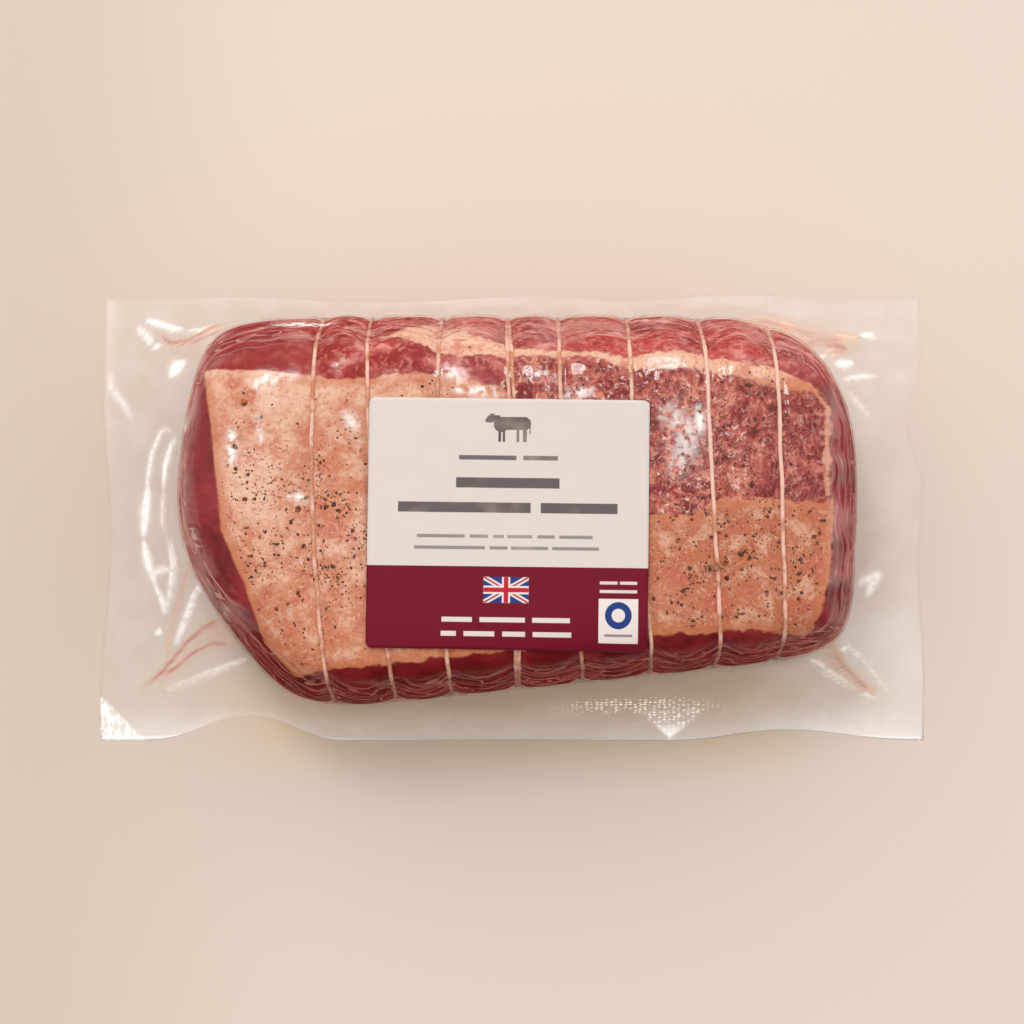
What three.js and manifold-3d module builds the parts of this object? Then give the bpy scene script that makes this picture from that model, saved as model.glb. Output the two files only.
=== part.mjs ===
// A tied beef roasting joint in a clear vacuum pouch, with a paper label stuck on top.
// Millimetres, +Z up, +X along the joint. The origin is under the middle of the pouch,
// on the surface that the pack lies on.
//
// The pouch is one solid out to its film: it takes in the joint and the eight ties, whose
// forms show through the film, and it runs out into a flat free margin all round. The film
// clings to the joint, so the joint's own form is made first, as a block of named sides with
// rounded edges, and the ties, the margin and the loose folds are added to it.

import * as THREE from "three";
import { ParametricGeometry } from "three/addons/geometries/ParametricGeometry.js";
import { mergeVertices } from "three/addons/utils/BufferGeometryUtils.js";
import Module from "manifold-3d";

const wasm = await Module();
wasm.setup();

// ---------------------------------------------------------------- driving dimensions

const JOINT = {
  centre: new THREE.Vector3(0, 2, 32), // middle of the widest level
  above: 43.5, // from that level to the top
  below: 35, // and down past the flat that the pack rests on
  edge: 12, // exponent that rounds the edges: more is sharper
};

// The sides seen from above: bearing of each from +X in degrees, distance from the centre,
// and the angles by which it leans in above and below the widest level.
const SIDES = [
  { name: "right end", bearing: -3, distance: 117, above: 12, below: 14 },
  { name: "rear right corner", bearing: 45, distance: 114, above: 20, below: 14 },
  { name: "rear", bearing: 90, distance: 65.5, above: 24, below: 14 },
  { name: "rear left corner", bearing: 145, distance: 128, above: 20, below: 14 },
  { name: "left end", bearing: 174, distance: 116, above: 16, below: 14 },
  { name: "front left corner", bearing: 220, distance: 102, above: 20, below: 14 },
  { name: "front", bearing: 276, distance: 62.5, above: 14, below: 14 },
];

// The ties from left to right: place along the joint, how far the rear end of the loop lies
// ahead of its middle, and how far the middle bows out.
const TIES = [
  { at: -62.7, lean: -1.9, bow: -3.2 },
  { at: -43.7, lean: -4.5, bow: -2.3 },
  { at: -22.1, lean: -1.8, bow: -2.2 },
  { at: -0.1, lean: -1.8, bow: 0 },
  { at: 20.2, lean: -4.5, bow: -2.3 },
  { at: 43.7, lean: -4.4, bow: -2.5 },
  { at: 66.8, lean: -3.2, bow: -0.3 },
  { at: 88.9, lean: -1.7, bow: 0.3 },
];
const TIE = {
  waist: 1, // how far each tie draws the joint in
  waistReach: 4, // half length of that groove
  bulge: 0.8, // how far the joint stands out between two ties
  crest: 0.8, // height of the film over the twine, above the groove
  foot: 1.5, // half length of that ridge
};

const POUCH = {
  length: 290,
  width: 157,
  film: 1.2, // thickness of the two sheets where they lie on each other
  seam: 23, // height at which the sheets leave the joint
  cornerHeight: 2.6, // middle of the film at the four corners
  sag: 6, // how much higher the middle of each side is
  web: 6.5, // height of the film that spans from the joint down to the margin
  webReach: 0.4, // share of the margin that this span takes
  sharpness: 0.25, // how close to its corners a side's waves come: less is closer
};

// Waves of the free edge: where along the side, half length, how far in and how far up.
const WAVES = {
  right: [
    { at: 34, reach: 24, inset: 7, lift: 5 },
    { at: -20, reach: 40, inset: 2, lift: 1 },
  ],
  rear: [
    { at: -48, reach: 60, inset: 2.5, lift: -1 },
    { at: 40, reach: 30, inset: 2, lift: 0 },
    { at: 98, reach: 34, inset: 0, lift: 5 },
  ],
  left: [{ at: -10, reach: 60, inset: 4, lift: 2 }],
  front: [
    { at: -94, reach: 34, inset: 12, lift: 8 },
    { at: 101, reach: 44, inset: 5, lift: 3 },
  ],
};

// Loose folds of film: each is a tapered tunnel that runs over the margin along a few
// points seen from above. The widths are those of its two ends, the rise is its height.
const FOLDS = [
  { name: "front left tunnel", path: [[-88, -40], [-105, -50], [-127, -62]], width: [15, 5], rise: 5 },
  { name: "left blister", path: [[-112, 28], [-120, -12], [-115, -38]], width: [9, 9], rise: 5 },
  { name: "rear left tunnel", path: [[-98, 52], [-114, 61], [-131, 68]], width: [15, 7], rise: 5 },
  { name: "rear right tunnel", path: [[92, 56], [112, 60], [131, 62]], width: [14, 5], rise: 6 },
  { name: "front right tube", path: [[98, -36], [112, -53], [127, -64]], width: [13, 10], rise: 5 },
];

const LABEL = {
  length: 92.6,
  width: 82.6,
  thickness: 0.6,
  corner: 2, // corner radius
  centre: new THREE.Vector2(-1.3, -6.9),
  turn: 0.7, // degrees clockwise from above
  gap: 0.4, // clear of the pouch
  steps: [18, 16], // cells of its mesh along and across
  cornerSteps: 2, // cells along each corner's arc
};

const FINISHES = {
  pouch: { color: 0xb5675c, roughness: 0.25, metalness: 0 },
  label: { color: 0xe6dcd4, roughness: 0.55, metalness: 0 },
};

// Steps of the meshes.
const AROUND = 54; // points round the joint's section
const LEFT_STATIONS = [-105, -97, -88, -78, -70]; // sections before the first tie
const BAY_STATIONS = [0.3, 0.7]; // sections between two ties, as shares of the bay
const RIGHT_STATIONS = [97, 105]; // sections after the last tie
const CAP_RINGS = [0, 0.4, 0.75, 0.93]; // rings that close each end, as shares of its section
const MARGIN_STEPS = 120; // points round the free edge: 20 for each end and 40 for each long side
const MARGIN_TOP = [-0.35, 0, 0.1, 0.22, 0.4, 0.7, 1]; // shares of the way out, upper face
const MARGIN_UNDERSIDE = [1, 0.5, 0.15, -0.35];
const FOLD_SIDES = 10;
const FOLD_STATIONS = [0, 0.2, 0.4, 0.6, 0.8, 0.93, 1];
const FOLD_KEEL = 0.3; // depth of a fold below the film, as a share of its rise
const SEARCH_STEPS = 26;

// ---------------------------------------------------------------- the joint's form

const degrees = THREE.MathUtils.degToRad;

// Each side is two planes that meet at the widest level. Rounding their edge takes the form
// in there by a known share, so the planes stand that much further out.
const planes = [
  { normal: new THREE.Vector3(0, 0, 1), distance: JOINT.above },
  { normal: new THREE.Vector3(0, 0, -1), distance: JOINT.below },
];
const edgeRoom = 2 ** (1 / JOINT.edge);
for (const side of SIDES) {
  for (const slope of [side.above, -side.below]) {
    const across = Math.cos(degrees(slope));
    planes.push({
      normal: new THREE.Vector3(
        Math.cos(degrees(side.bearing)) * across,
        Math.sin(degrees(side.bearing)) * across,
        Math.sin(degrees(slope)),
      ),
      distance: side.distance * across * edgeRoom,
    });
  }
}

// 1 on the joint's surface, less inside it and more outside it.
function form(point) {
  const p = point.clone().sub(JOINT.centre);
  let sum = 0;
  for (const { normal, distance } of planes) {
    sum += Math.max(0, normal.dot(p) / distance) ** JOINT.edge;
  }
  return sum ** (1 / JOINT.edge);
}

// The outward normal of the form at a point.
function formNormal(point) {
  const p = point.clone().sub(JOINT.centre);
  const gradient = new THREE.Vector3();
  for (const { normal, distance } of planes) {
    const share = Math.max(0, normal.dot(p) / distance) ** (JOINT.edge - 1);
    gradient.addScaledVector(normal, share / distance);
  }
  return gradient.normalize();
}

// Where a ray from inside the form meets its surface.
function reach(origin, direction) {
  let near = 0;
  let far = 2 * POUCH.length;
  const point = new THREE.Vector3();
  for (let step = 0; step < SEARCH_STEPS; step++) {
    const middle = (near + far) / 2;
    if (form(point.copy(origin).addScaledVector(direction, middle)) < 1) near = middle;
    else far = middle;
  }
  return point.copy(origin).addScaledVector(direction, near);
}

// ---------------------------------------------------------------- ties

const halfAcross = SIDES.find((side) => side.name === "rear").distance;

// 1 in the middle of a bump, falling smoothly to 0 at its half length.
function bump(offset, halfLength) {
  const share = Math.min(1, Math.abs(offset) / halfLength);
  return (1 + Math.cos(Math.PI * share)) / 2;
}

// A tie's value between its neighbours along the joint.
function tieValue(key, at) {
  const after = TIES.findIndex((tie) => tie.at > at);
  if (after === 0) return TIES[0][key];
  if (after === -1) return TIES[TIES.length - 1][key];
  const [a, b] = [TIES[after - 1], TIES[after]];
  return THREE.MathUtils.lerp(a[key], b[key], (at - a.at) / (b.at - a.at));
}

// How far the line that is at `at` in the middle of the joint has moved along it at y.
function tieShift(at, y) {
  const across = (y - JOINT.centre.y) / halfAcross;
  return tieValue("lean", at) * across + tieValue("bow", at) * (1 - across * across);
}

// The film stands out between ties and is drawn in at each, where it passes over the twine.
function tieRelief(at) {
  let relief = 0;
  TIES.forEach((tie, i) => {
    relief -= TIE.waist * bump(at - tie.at, TIE.waistReach);
    relief += TIE.crest * bump(at - tie.at, TIE.foot);
    const next = TIES[i + 1];
    if (next) {
      relief += TIE.bulge * bump(at - (tie.at + next.at) / 2, (next.at - tie.at) / 2);
    }
  });
  return relief;
}

// ---------------------------------------------------------------- the joint in its film

// Places along the joint that the mesh has points at.
function stations() {
  const places = [...LEFT_STATIONS];
  TIES.forEach((tie, i) => {
    places.push(tie.at - TIE.foot, tie.at, tie.at + TIE.foot);
    const next = TIES[i + 1];
    if (next) places.push(...BAY_STATIONS.map((share) => THREE.MathUtils.lerp(tie.at, next.at, share)));
  });
  return [...places, ...RIGHT_STATIONS];
}

function jointBody() {
  const along = stations();
  const rings = CAP_RINGS.length * 2 + along.length;

  // The point of the section at `at`, in the direction of an angle about the joint's length.
  function onSection(at, angle) {
    const { y, z } = JOINT.centre;
    const direction = new THREE.Vector3(0, Math.cos(angle), Math.sin(angle));
    const level = reach(new THREE.Vector3(at, y, z), direction);
    const leaning = new THREE.Vector3(at + tieShift(at, level.y), y, z);
    const point = reach(leaning, direction);
    return point.addScaledVector(formNormal(point), tieRelief(at));
  }

  // The point of an end cap: a point of the end section, drawn in by a share, and out along X.
  function onCap(shoulder, share, angle) {
    const rim = onSection(shoulder, angle);
    const start = new THREE.Vector3(
      shoulder,
      THREE.MathUtils.lerp(JOINT.centre.y, rim.y, share),
      THREE.MathUtils.lerp(JOINT.centre.z, rim.z, share),
    );
    return reach(start, new THREE.Vector3(Math.sign(shoulder), 0, 0));
  }

  function surface(u, v, target) {
    const angle = u * 2 * Math.PI;
    const ring = Math.round(v * (rings - 1));
    const last = rings - 1 - ring;
    if (ring < CAP_RINGS.length) target.copy(onCap(along.at(0), CAP_RINGS[ring], angle));
    else if (last < CAP_RINGS.length) target.copy(onCap(along.at(-1), CAP_RINGS[last], angle));
    else target.copy(onSection(along[ring - CAP_RINGS.length], angle));
    target.z = Math.max(0, target.z);
  }
  return new ParametricGeometry(surface, AROUND, rings - 1);
}

// ---------------------------------------------------------------- the free margin

// The middle of the film on the free edge, at a share of the way round from the front right
// corner. A sixth of the way is given to each end and a third to each long side.
function freeEdge(share) {
  const [halfLength, halfWidth] = [POUCH.length / 2, POUCH.width / 2];
  const sixths = (share % 1) * 6;
  let side = "front";
  let along = sixths - 5; // from -1 at one corner of the side to 1 at the next
  if (sixths < 1) [side, along] = ["right", sixths * 2 - 1];
  else if (sixths < 3) [side, along] = ["rear", 2 - sixths];
  else if (sixths < 4) [side, along] = ["left", 7 - sixths * 2];
  const isEnd = side === "right" || side === "left";
  const outward = side === "right" || side === "rear" ? 1 : -1;
  const place = along * (isEnd ? halfWidth : halfLength);

  let inset = 0;
  let height = POUCH.cornerHeight + POUCH.sag * (1 - along * along);
  for (const wave of WAVES[side]) {
    const strength = bump(place - wave.at, wave.reach) * bump(along, 1) ** POUCH.sharpness;
    inset += wave.inset * strength;
    height += wave.lift * strength;
  }
  const out = outward * ((isEnd ? halfLength : halfWidth) - inset);
  return isEnd ? new THREE.Vector3(out, place, height) : new THREE.Vector3(place, out, height);
}

// Where the film leaves the joint in the direction of a point seen from above.
function filmRoot(point) {
  const centre = new THREE.Vector3(JOINT.centre.x, JOINT.centre.y, POUCH.seam);
  const direction = new THREE.Vector3(point.x - centre.x, point.y - centre.y, 0);
  return reach(centre, direction.normalize());
}

// The height of the film between the joint, at share 0, and the free edge, at share 1.
function filmHeight(edge, share) {
  return edge.z + (POUCH.seam - edge.z) * Math.max(0, 1 - share) ** 2;
}

// A ring with the section of a blade: out along the upper face and back along the lower.
function margin() {
  const section = [
    ...MARGIN_TOP.map((share) => ({ share, face: 1 })),
    ...MARGIN_UNDERSIDE.map((share) => ({ share, face: -1 })),
  ].reverse();
  function surface(u, v, target) {
    const { share, face } = section[Math.round(v * section.length) % section.length];
    const edge = freeEdge(u);
    const web = POUCH.web * Math.max(0, 1 - Math.max(0, share) / POUCH.webReach) ** 2;
    target.copy(filmRoot(edge)).lerp(edge, share);
    target.z = filmHeight(edge, share) + face * (POUCH.film / 2 + web);
  }
  return new ParametricGeometry(surface, MARGIN_STEPS, section.length);
}

// ---------------------------------------------------------------- loose folds

// The free edge in the direction of a point seen from above.
function edgeBeyond(point) {
  const bearing = (p) => Math.atan2(p.y - JOINT.centre.y, p.x - JOINT.centre.x);
  const start = bearing(freeEdge(0));
  const turned = (p) => THREE.MathUtils.euclideanModulo(bearing(p) - start, 2 * Math.PI);
  let near = 0;
  let far = 1;
  for (let step = 0; step < SEARCH_STEPS; step++) {
    const middle = (near + far) / 2;
    if (turned(freeEdge(middle)) < turned(point)) near = middle;
    else far = middle;
  }
  return freeEdge(near);
}

// The middle of the film above or below a point seen from above.
function onFilm(point) {
  const edge = edgeBeyond(point);
  const root = filmRoot(point);
  const outward = edge.clone().sub(root).setZ(0);
  const share = point.clone().sub(root).setZ(0).dot(outward) / outward.lengthSq();
  return new THREE.Vector3(point.x, point.y, filmHeight(edge, share));
}

// A tunnel of oval section whose middle lies in the film, closed at both ends.
function fold({ path, width, rise }) {
  const line = new THREE.CatmullRomCurve3(path.map(([x, y]) => new THREE.Vector3(x, y, 0)));
  const last = FOLD_STATIONS.length - 1;
  function surface(u, v, target) {
    const place = FOLD_STATIONS[Math.round(v * last)];
    const closing = Math.sqrt(Math.sin(Math.PI * Math.min(0.5, 1 - place))); // rounds the tip
    const fullness = place > 0 ? closing : 0;
    const across = (THREE.MathUtils.lerp(...width, place) / 2) * fullness;
    const angle = -u * 2 * Math.PI;
    const up = Math.sin(angle) * rise * fullness;
    const sideways = line.getTangent(place).cross(new THREE.Vector3(0, 0, 1));
    target.copy(onFilm(line.getPoint(place)));
    target.addScaledVector(sideways, Math.cos(angle) * across);
    target.z += up > 0 ? up : up * FOLD_KEEL;
  }
  return new ParametricGeometry(surface, FOLD_SIDES, last);
}

// ---------------------------------------------------------------- solids and meshes

function toSolid(geometry) {
  const bare = geometry.clone();
  for (const name of ["normal", "uv"]) bare.deleteAttribute(name);
  const merged = mergeVertices(bare, 1e-3);
  return new wasm.Manifold(
    new wasm.Mesh({
      numProp: 3,
      vertProperties: merged.attributes.position.array,
      triVerts: new Uint32Array(merged.index.array),
    }),
  );
}

function toGeometry(solid) {
  const { vertProperties, triVerts } = solid.getMesh();
  const geometry = new THREE.BufferGeometry();
  geometry.setAttribute("position", new THREE.BufferAttribute(vertProperties, 3));
  geometry.setIndex(new THREE.BufferAttribute(triVerts, 1));
  return geometry;
}

function namedMesh(name, geometry, finish) {
  geometry.computeVertexNormals();
  const mesh = new THREE.Mesh(geometry, new THREE.MeshStandardMaterial(finish));
  mesh.name = name;
  return mesh;
}

function pouch() {
  let solid = toSolid(jointBody()).add(toSolid(margin()));
  for (const each of FOLDS) solid = solid.add(toSolid(fold(each)));
  return namedMesh("pouch", toGeometry(solid), FINISHES.pouch);
}

// Where a column of the label's cells stands along it: some steps round each corner's arc, and
// even steps between the arcs. The second value is how far the arc has drawn in there.
function labelColumn(column) {
  const { length, corner, cornerSteps, steps } = LABEL;
  const fromEnd = Math.min(column, steps[0] - column);
  const side = column * 2 < steps[0] ? -1 : 1;
  if (fromEnd < cornerSteps) {
    const angle = ((fromEnd / cornerSteps) * Math.PI) / 2;
    const arcCentre = length / 2 - corner;
    return [side * (arcCentre + corner * Math.cos(angle)), corner * (1 - Math.sin(angle))];
  }
  const share = (column - cornerSteps) / (steps[0] - 2 * cornerSteps);
  return [(share - 0.5) * (length - 2 * corner), 0];
}

// A thin plate with rounded corners, bent over the joint just clear of the fullest bulges.
function label() {
  const { length, width, thickness, centre, turn, gap, steps } = LABEL;
  const geometry = new THREE.BoxGeometry(length, width, thickness, ...steps, 1);
  const points = geometry.attributes.position;
  const clear = TIE.bulge + gap + thickness / 2;
  for (let i = 0; i < points.count; i++) {
    const [x, y, z] = [points.getX(i), points.getY(i), points.getZ(i)];
    const [along, drawnIn] = labelColumn(Math.round((x / length + 0.5) * steps[0]));
    const flat = new THREE.Vector2(along, y * (1 - (2 * drawnIn) / width));
    flat.rotateAround(new THREE.Vector2(), -degrees(turn)).add(centre);
    const below = new THREE.Vector3(flat.x, flat.y, JOINT.centre.z);
    const point = reach(below, new THREE.Vector3(0, 0, 1));
    point.addScaledVector(formNormal(point), clear + z);
    points.setXYZ(i, ...point);
  }
  return namedMesh("label", geometry, FINISHES.label);
}

const part = new THREE.Group();
part.add(pouch(), label());

export default part;
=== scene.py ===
# A tied beef roasting joint in a clear vacuum pouch, with a paper label stuck on top.
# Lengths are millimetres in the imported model's frame; MM turns them into metres where a
# mesh is made.
import logging
import math
from dataclasses import dataclass, field
from enum import Enum
from functools import cached_property, reduce
from typing import Callable, ClassVar, Sequence

import bmesh
import bpy
import numpy as np
from bmesh.types import BMesh
from bpy.types import ID, Material, Node, NodeSocket, Object, World
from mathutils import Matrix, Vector, noise


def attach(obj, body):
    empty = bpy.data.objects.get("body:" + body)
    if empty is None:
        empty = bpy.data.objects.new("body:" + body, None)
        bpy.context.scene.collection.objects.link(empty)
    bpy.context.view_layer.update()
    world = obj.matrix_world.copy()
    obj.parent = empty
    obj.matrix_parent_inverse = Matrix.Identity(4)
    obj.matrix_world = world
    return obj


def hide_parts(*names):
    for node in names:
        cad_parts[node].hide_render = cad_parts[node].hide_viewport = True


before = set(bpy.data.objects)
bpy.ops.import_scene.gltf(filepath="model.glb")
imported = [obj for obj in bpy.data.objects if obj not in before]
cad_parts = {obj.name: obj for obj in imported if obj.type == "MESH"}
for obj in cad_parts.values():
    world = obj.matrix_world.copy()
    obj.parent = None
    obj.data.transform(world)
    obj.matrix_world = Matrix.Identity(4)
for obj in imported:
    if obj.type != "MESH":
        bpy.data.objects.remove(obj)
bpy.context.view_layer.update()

MM = 0.001
UV_NAME = "UVMap"
ARCH = 4.5    # how far the film's creases arch up between two ties

Array = np.ndarray
Point = tuple[float, float]
Place = tuple[float, float, float]
Tint = tuple[float, float, float, float]

log = logging.getLogger("beef")


# -------------------- colours and shader maths


def srgb(red: float, green: float, blue: float) -> Tint:
    """The linear colour, with alpha, of a colour given by its 8-bit screen values."""
    shares = (channel / 255 for channel in (red, green, blue))
    linear = (s / 12.92 if s <= 0.04045 else ((s + 0.055) / 1.055) ** 2.4 for s in shares)
    return (*linear, 1.0)


@dataclass(eq=False)
class Wrapped:
    """A node's output, used like a number, a vector or a colour in expressions."""

    tree: "Finish"
    socket: NodeSocket


def operator(kind: str, operation: str, swapped: bool = False) -> Callable[..., Wrapped]:
    """Makes a method that adds a Math or Vector Math node.

    Args:
        kind: The node's type.
        operation: What the node works out.
        swapped: Whether the other operand comes first.

    Returns:
        The method, which takes the other operands.
    """

    def method(self: Wrapped, *others: object) -> Wrapped:
        """The node's result."""
        operands = (*others, self) if swapped else (self, *others)
        node = self.tree.add(kind, {"operation": operation}, dict(enumerate(operands)))
        return type(self)(self.tree, node.outputs[0])

    return method


class Value(Wrapped):
    """A number that varies over a surface."""

    __add__ = __radd__ = operator("Math", "ADD")
    __sub__ = operator("Math", "SUBTRACT")
    __rsub__ = operator("Math", "SUBTRACT", swapped=True)
    __mul__ = __rmul__ = operator("Math", "MULTIPLY")
    __truediv__ = operator("Math", "DIVIDE")
    __pow__ = operator("Math", "POWER")
    __abs__ = operator("Math", "ABSOLUTE")
    least = operator("Math", "MINIMUM")
    most = operator("Math", "MAXIMUM")
    sine = operator("Math", "SINE")

    def rise(self, low: float, high: float, top: float = 1.0) -> "Value":
        """A smooth step.

        Args:
            low: Where the step starts, at 0.
            high: Where it ends; below `low` the step falls instead.
            top: Its height.

        Returns:
            The step's value.
        """
        if low > high:
            return top - self.rise(high, low, top)
        settings = {"interpolation_type": "SMOOTHSTEP"}
        sockets = {0: self, 1: low, 2: high, 3: 0.0, 4: top}
        return Value(self.tree, self.tree.add("MapRange", settings, sockets).outputs[0])


class Space(Wrapped):
    """A vector that varies over a surface, such as a position in millimetres."""

    __add__ = operator("VectorMath", "ADD")
    __sub__ = operator("VectorMath", "SUBTRACT")
    __mul__ = operator("VectorMath", "MULTIPLY")
    unit = operator("VectorMath", "NORMALIZE")

    def scaled(self, factor: object) -> "Space":
        """The vector times a number."""
        node = self.tree.add("VectorMath", {"operation": "SCALE"}, {0: self, "Scale": factor})
        return Space(self.tree, node.outputs[0])

    def axes(self) -> list[Value]:
        """The three components."""
        node = self.tree.add("SeparateXYZ", {}, {0: self})
        return [Value(self.tree, out) for out in node.outputs]


class Colour(Wrapped):
    """A colour that varies over a surface."""

    def mix(self, other: object, share: object) -> "Colour":
        """This colour with a share of another."""
        node = self.tree.add("Mix", {"data_type": "RGBA"}, {0: share, 6: self, 7: other})
        return Colour(self.tree, node.outputs[2])


class Finish:
    """A node tree, and the nodes that a finish is made of. Places are in millimetres."""

    name: ClassVar[str]

    @cached_property
    def owner(self) -> ID:
        """The material, with an empty tree."""
        return self.emptied(bpy.data.materials.new(self.name))

    def emptied(self, owner: ID) -> ID:
        """A material or world with an empty tree."""
        owner.use_nodes = True
        owner.node_tree.nodes.clear()
        return owner

    def add(self, kind: str, settings: dict[str, object], sockets: dict) -> Node:
        """Adds a node.

        Args:
            kind: The node's type, without its leading "ShaderNode".
            settings: Its properties, which are set first.
            sockets: The value or link of each socket, by name or index.

        Returns:
            The node.
        """
        tree = self.owner.node_tree
        node = tree.nodes.new("ShaderNode" + kind)
        for name, value in settings.items():
            setattr(node, name, value)
        for key, value in sockets.items():
            source = getattr(value, "socket", value)
            if isinstance(source, NodeSocket):
                tree.links.new(source, node.inputs[key])
            else:
                node.inputs[key].default_value = source
        return node

    @cached_property
    def place(self) -> Space:
        """The place on the object."""
        return Space(self, self.add("TexCoord", {}, {}).outputs["Object"]).scaled(1 / MM)

    @cached_property
    def axes(self) -> list[Value]:
        """The place's three components."""
        return self.place.axes()

    def uv(self) -> list[Value]:
        """The piece's own UV map, as its components."""
        return Space(self, self.add("UVMap", {"uv_map": UV_NAME}, {}).outputs[0]).axes()

    def attribute(self, name: str) -> Value:
        """A number kept at each point of the mesh."""
        return Value(self, self.add("Attribute", {"attribute_name": name}, {}).outputs["Fac"])

    def noise(
        self, size: float, detail: float = 2, rough: float = 0.5, twist: float = 0, at: Space | None = None
    ) -> Value:
        """Soft noise.

        Args:
            size: Size of its lumps.
            detail: How many finer layers it has.
            rough: How strong those are.
            twist: How far it is twisted by itself.
            at: Where it is read, if not at the place.

        Returns:
            A value around 0.5.
        """
        sockets = {"Vector": at or self.place, "Scale": 1 / size, "Detail": detail, "Roughness": rough}
        return Value(self, self.add("TexNoise", {}, sockets | {"Distortion": twist}).outputs[0])

    def warp(self, size: float, strength: float) -> Space:
        """The place shifted by the colour of a noise, which bends what is read there."""
        colour = self.noise(size, 1).socket.node.outputs[1]
        return self.place + self.centred(colour).scaled(strength)

    def centred(self, colour: NodeSocket) -> Space:
        """A random colour as a random vector around 0."""
        return Space(self, colour) - (0.5, 0.5, 0.5)

    def cells(self, size: float, at: Space, spread: float = 1) -> Sequence[NodeSocket]:
        """How far it is to the middle of the nearest cell, and a random colour for each cell."""
        sockets = {"Vector": at, "Scale": 1 / size, "Randomness": spread}
        return self.add("TexVoronoi", {}, sockets).outputs

    def colour(self, base: Tint, *coats: tuple[object, object]) -> Colour:
        """A colour under coats, each of another colour and how much of it there is."""
        node = self.add("Mix", {"data_type": "RGBA"}, {0: 0.0, 6: base, 7: base})
        return reduce(lambda colour, coat: colour.mix(*coat), coats, Colour(self, node.outputs[2]))

    def bump(self, height: Value, depth: float, normal: Space | None = None) -> Space:
        """A normal bent by a height.

        Args:
            height: The height, from 0 to 1.
            depth: Depth of 1 in millimetres.
            normal: The normal that is bent, if it isn't the surface's own.

        Returns:
            The bent normal.
        """
        sockets = {"Height": height, "Distance": depth * MM, "Strength": 1.0}
        if normal:
            sockets["Normal"] = normal
        return Space(self, self.add("Bump", {}, sockets).outputs[0])

    def shader(self, tint: Colour, rough: object, gloss: float, more: dict) -> Node:
        """A Principled shader of a colour, roughness and specular level, with more sockets."""
        sockets = {"Base Color": tint, "Roughness": rough, "Specular IOR Level": gloss}
        return self.add("BsdfPrincipled", {}, sockets | more)

    def finish(self, surface: Node, output: str = "OutputMaterial") -> ID:
        """Ends the tree at a shader, and gives its owner."""
        self.add(output, {}, {"Surface": surface.outputs[0]})
        return self.owner


# -------------------- meshes


def new_object(name: str, bm: BMesh) -> Object:
    """Makes an object.

    Args:
        name: Its name.
        bm: The bmesh that gives it its shape, and is freed.

    Returns:
        The object, shaded smooth.
    """
    mesh = bpy.data.meshes.new(name)
    bm.to_mesh(mesh)
    bm.free()
    mesh.shade_smooth()
    piece = bpy.data.objects.new(name, mesh)
    bpy.context.scene.collection.objects.link(piece)
    return piece


def move_points(bm: BMesh, shape: Callable[[Array], Array]) -> None:
    """Moves the points of a bmesh by a formula that works on all of them at once.

    Args:
        bm: The bmesh, whose points are plain numbers.
        shape: Takes those points and gives points in millimetres.
    """
    points = shape(np.array([vert.co[:] for vert in bm.verts])) * MM
    for vert, point in zip(bm.verts, points.tolist()):
        vert.co = point


def keep_values(piece: Object, **values: Array) -> None:
    """Keeps named numbers at each point of a piece, for its material."""
    for name, numbers in values.items():
        attribute = piece.data.attributes.new(name, "FLOAT", "POINT")
        attribute.data.foreach_set("value", np.ascontiguousarray(numbers, dtype=np.float32))


def mesh_points(piece: Object) -> Array:
    """The points of a piece, in millimetres."""
    flat = np.empty(len(piece.data.vertices) * 3, dtype=np.float32)
    piece.data.vertices.foreach_get("co", flat)
    return flat.reshape(-1, 3).astype(float) / MM


def grid(columns: int, rows: int) -> BMesh:
    """A flat grid from -1 to 1 both ways.

    Args:
        columns: How many cells it has along X.
        rows: How many along Y.

    Returns:
        The grid, with a UV map from 0 to 1.
    """
    bm = bmesh.new()
    bm.loops.layers.uv.new(UV_NAME)
    bmesh.ops.create_grid(bm, x_segments=columns, y_segments=rows, size=1.0, calc_uvs=True)
    return bm


def hills(points: Array, size: float, seed: float = 0.0) -> Array:
    """Smooth noise from -1 to 1 at some points.

    Args:
        points: The points in millimetres.
        size: Size of its lumps.
        seed: Moves the noise, so that each use has its own.

    Returns:
        One value for each point.
    """
    return np.array([noise.noise(Vector(p)) for p in (points / size + seed).tolist()])


def bump(offset: Array, half_length: float) -> Array:
    """1 in the middle of a bump, falling smoothly to 0 at its half length."""
    return (1 + np.cos(np.pi * np.minimum(1, np.abs(offset) / half_length))) / 2


def taper(along: Array) -> Array:
    """0 at both ends of a path and beyond them, and 1 in its middle."""
    return np.sqrt(np.clip(np.sin(np.pi * np.clip(along, 0, 1)), 0, 1))


def turned(x: Array, y: Array, angle: Array) -> tuple[Array, Array]:
    """Places seen from above, turned anticlockwise about the middle by an angle in radians."""
    return x * np.cos(angle) - y * np.sin(angle), x * np.sin(angle) + y * np.cos(angle)


def reached_share(offset: Array, run: Array, low: Array, high: Array) -> tuple[Array, Array]:
    """Where points lie beside straight stretches.

    Args:
        offset: Each point from the start of each stretch.
        run: Each stretch from its start to its end.
        low: The least share of the stretch.
        high: The greatest.

    Returns:
        The share of each stretch that a point lies along, and its distance from there.
    """
    share = np.clip((offset * run).sum(-1) / (run**2).sum(-1), low, high)
    return share, np.linalg.norm(offset - share[..., None] * run, axis=-1)


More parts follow.
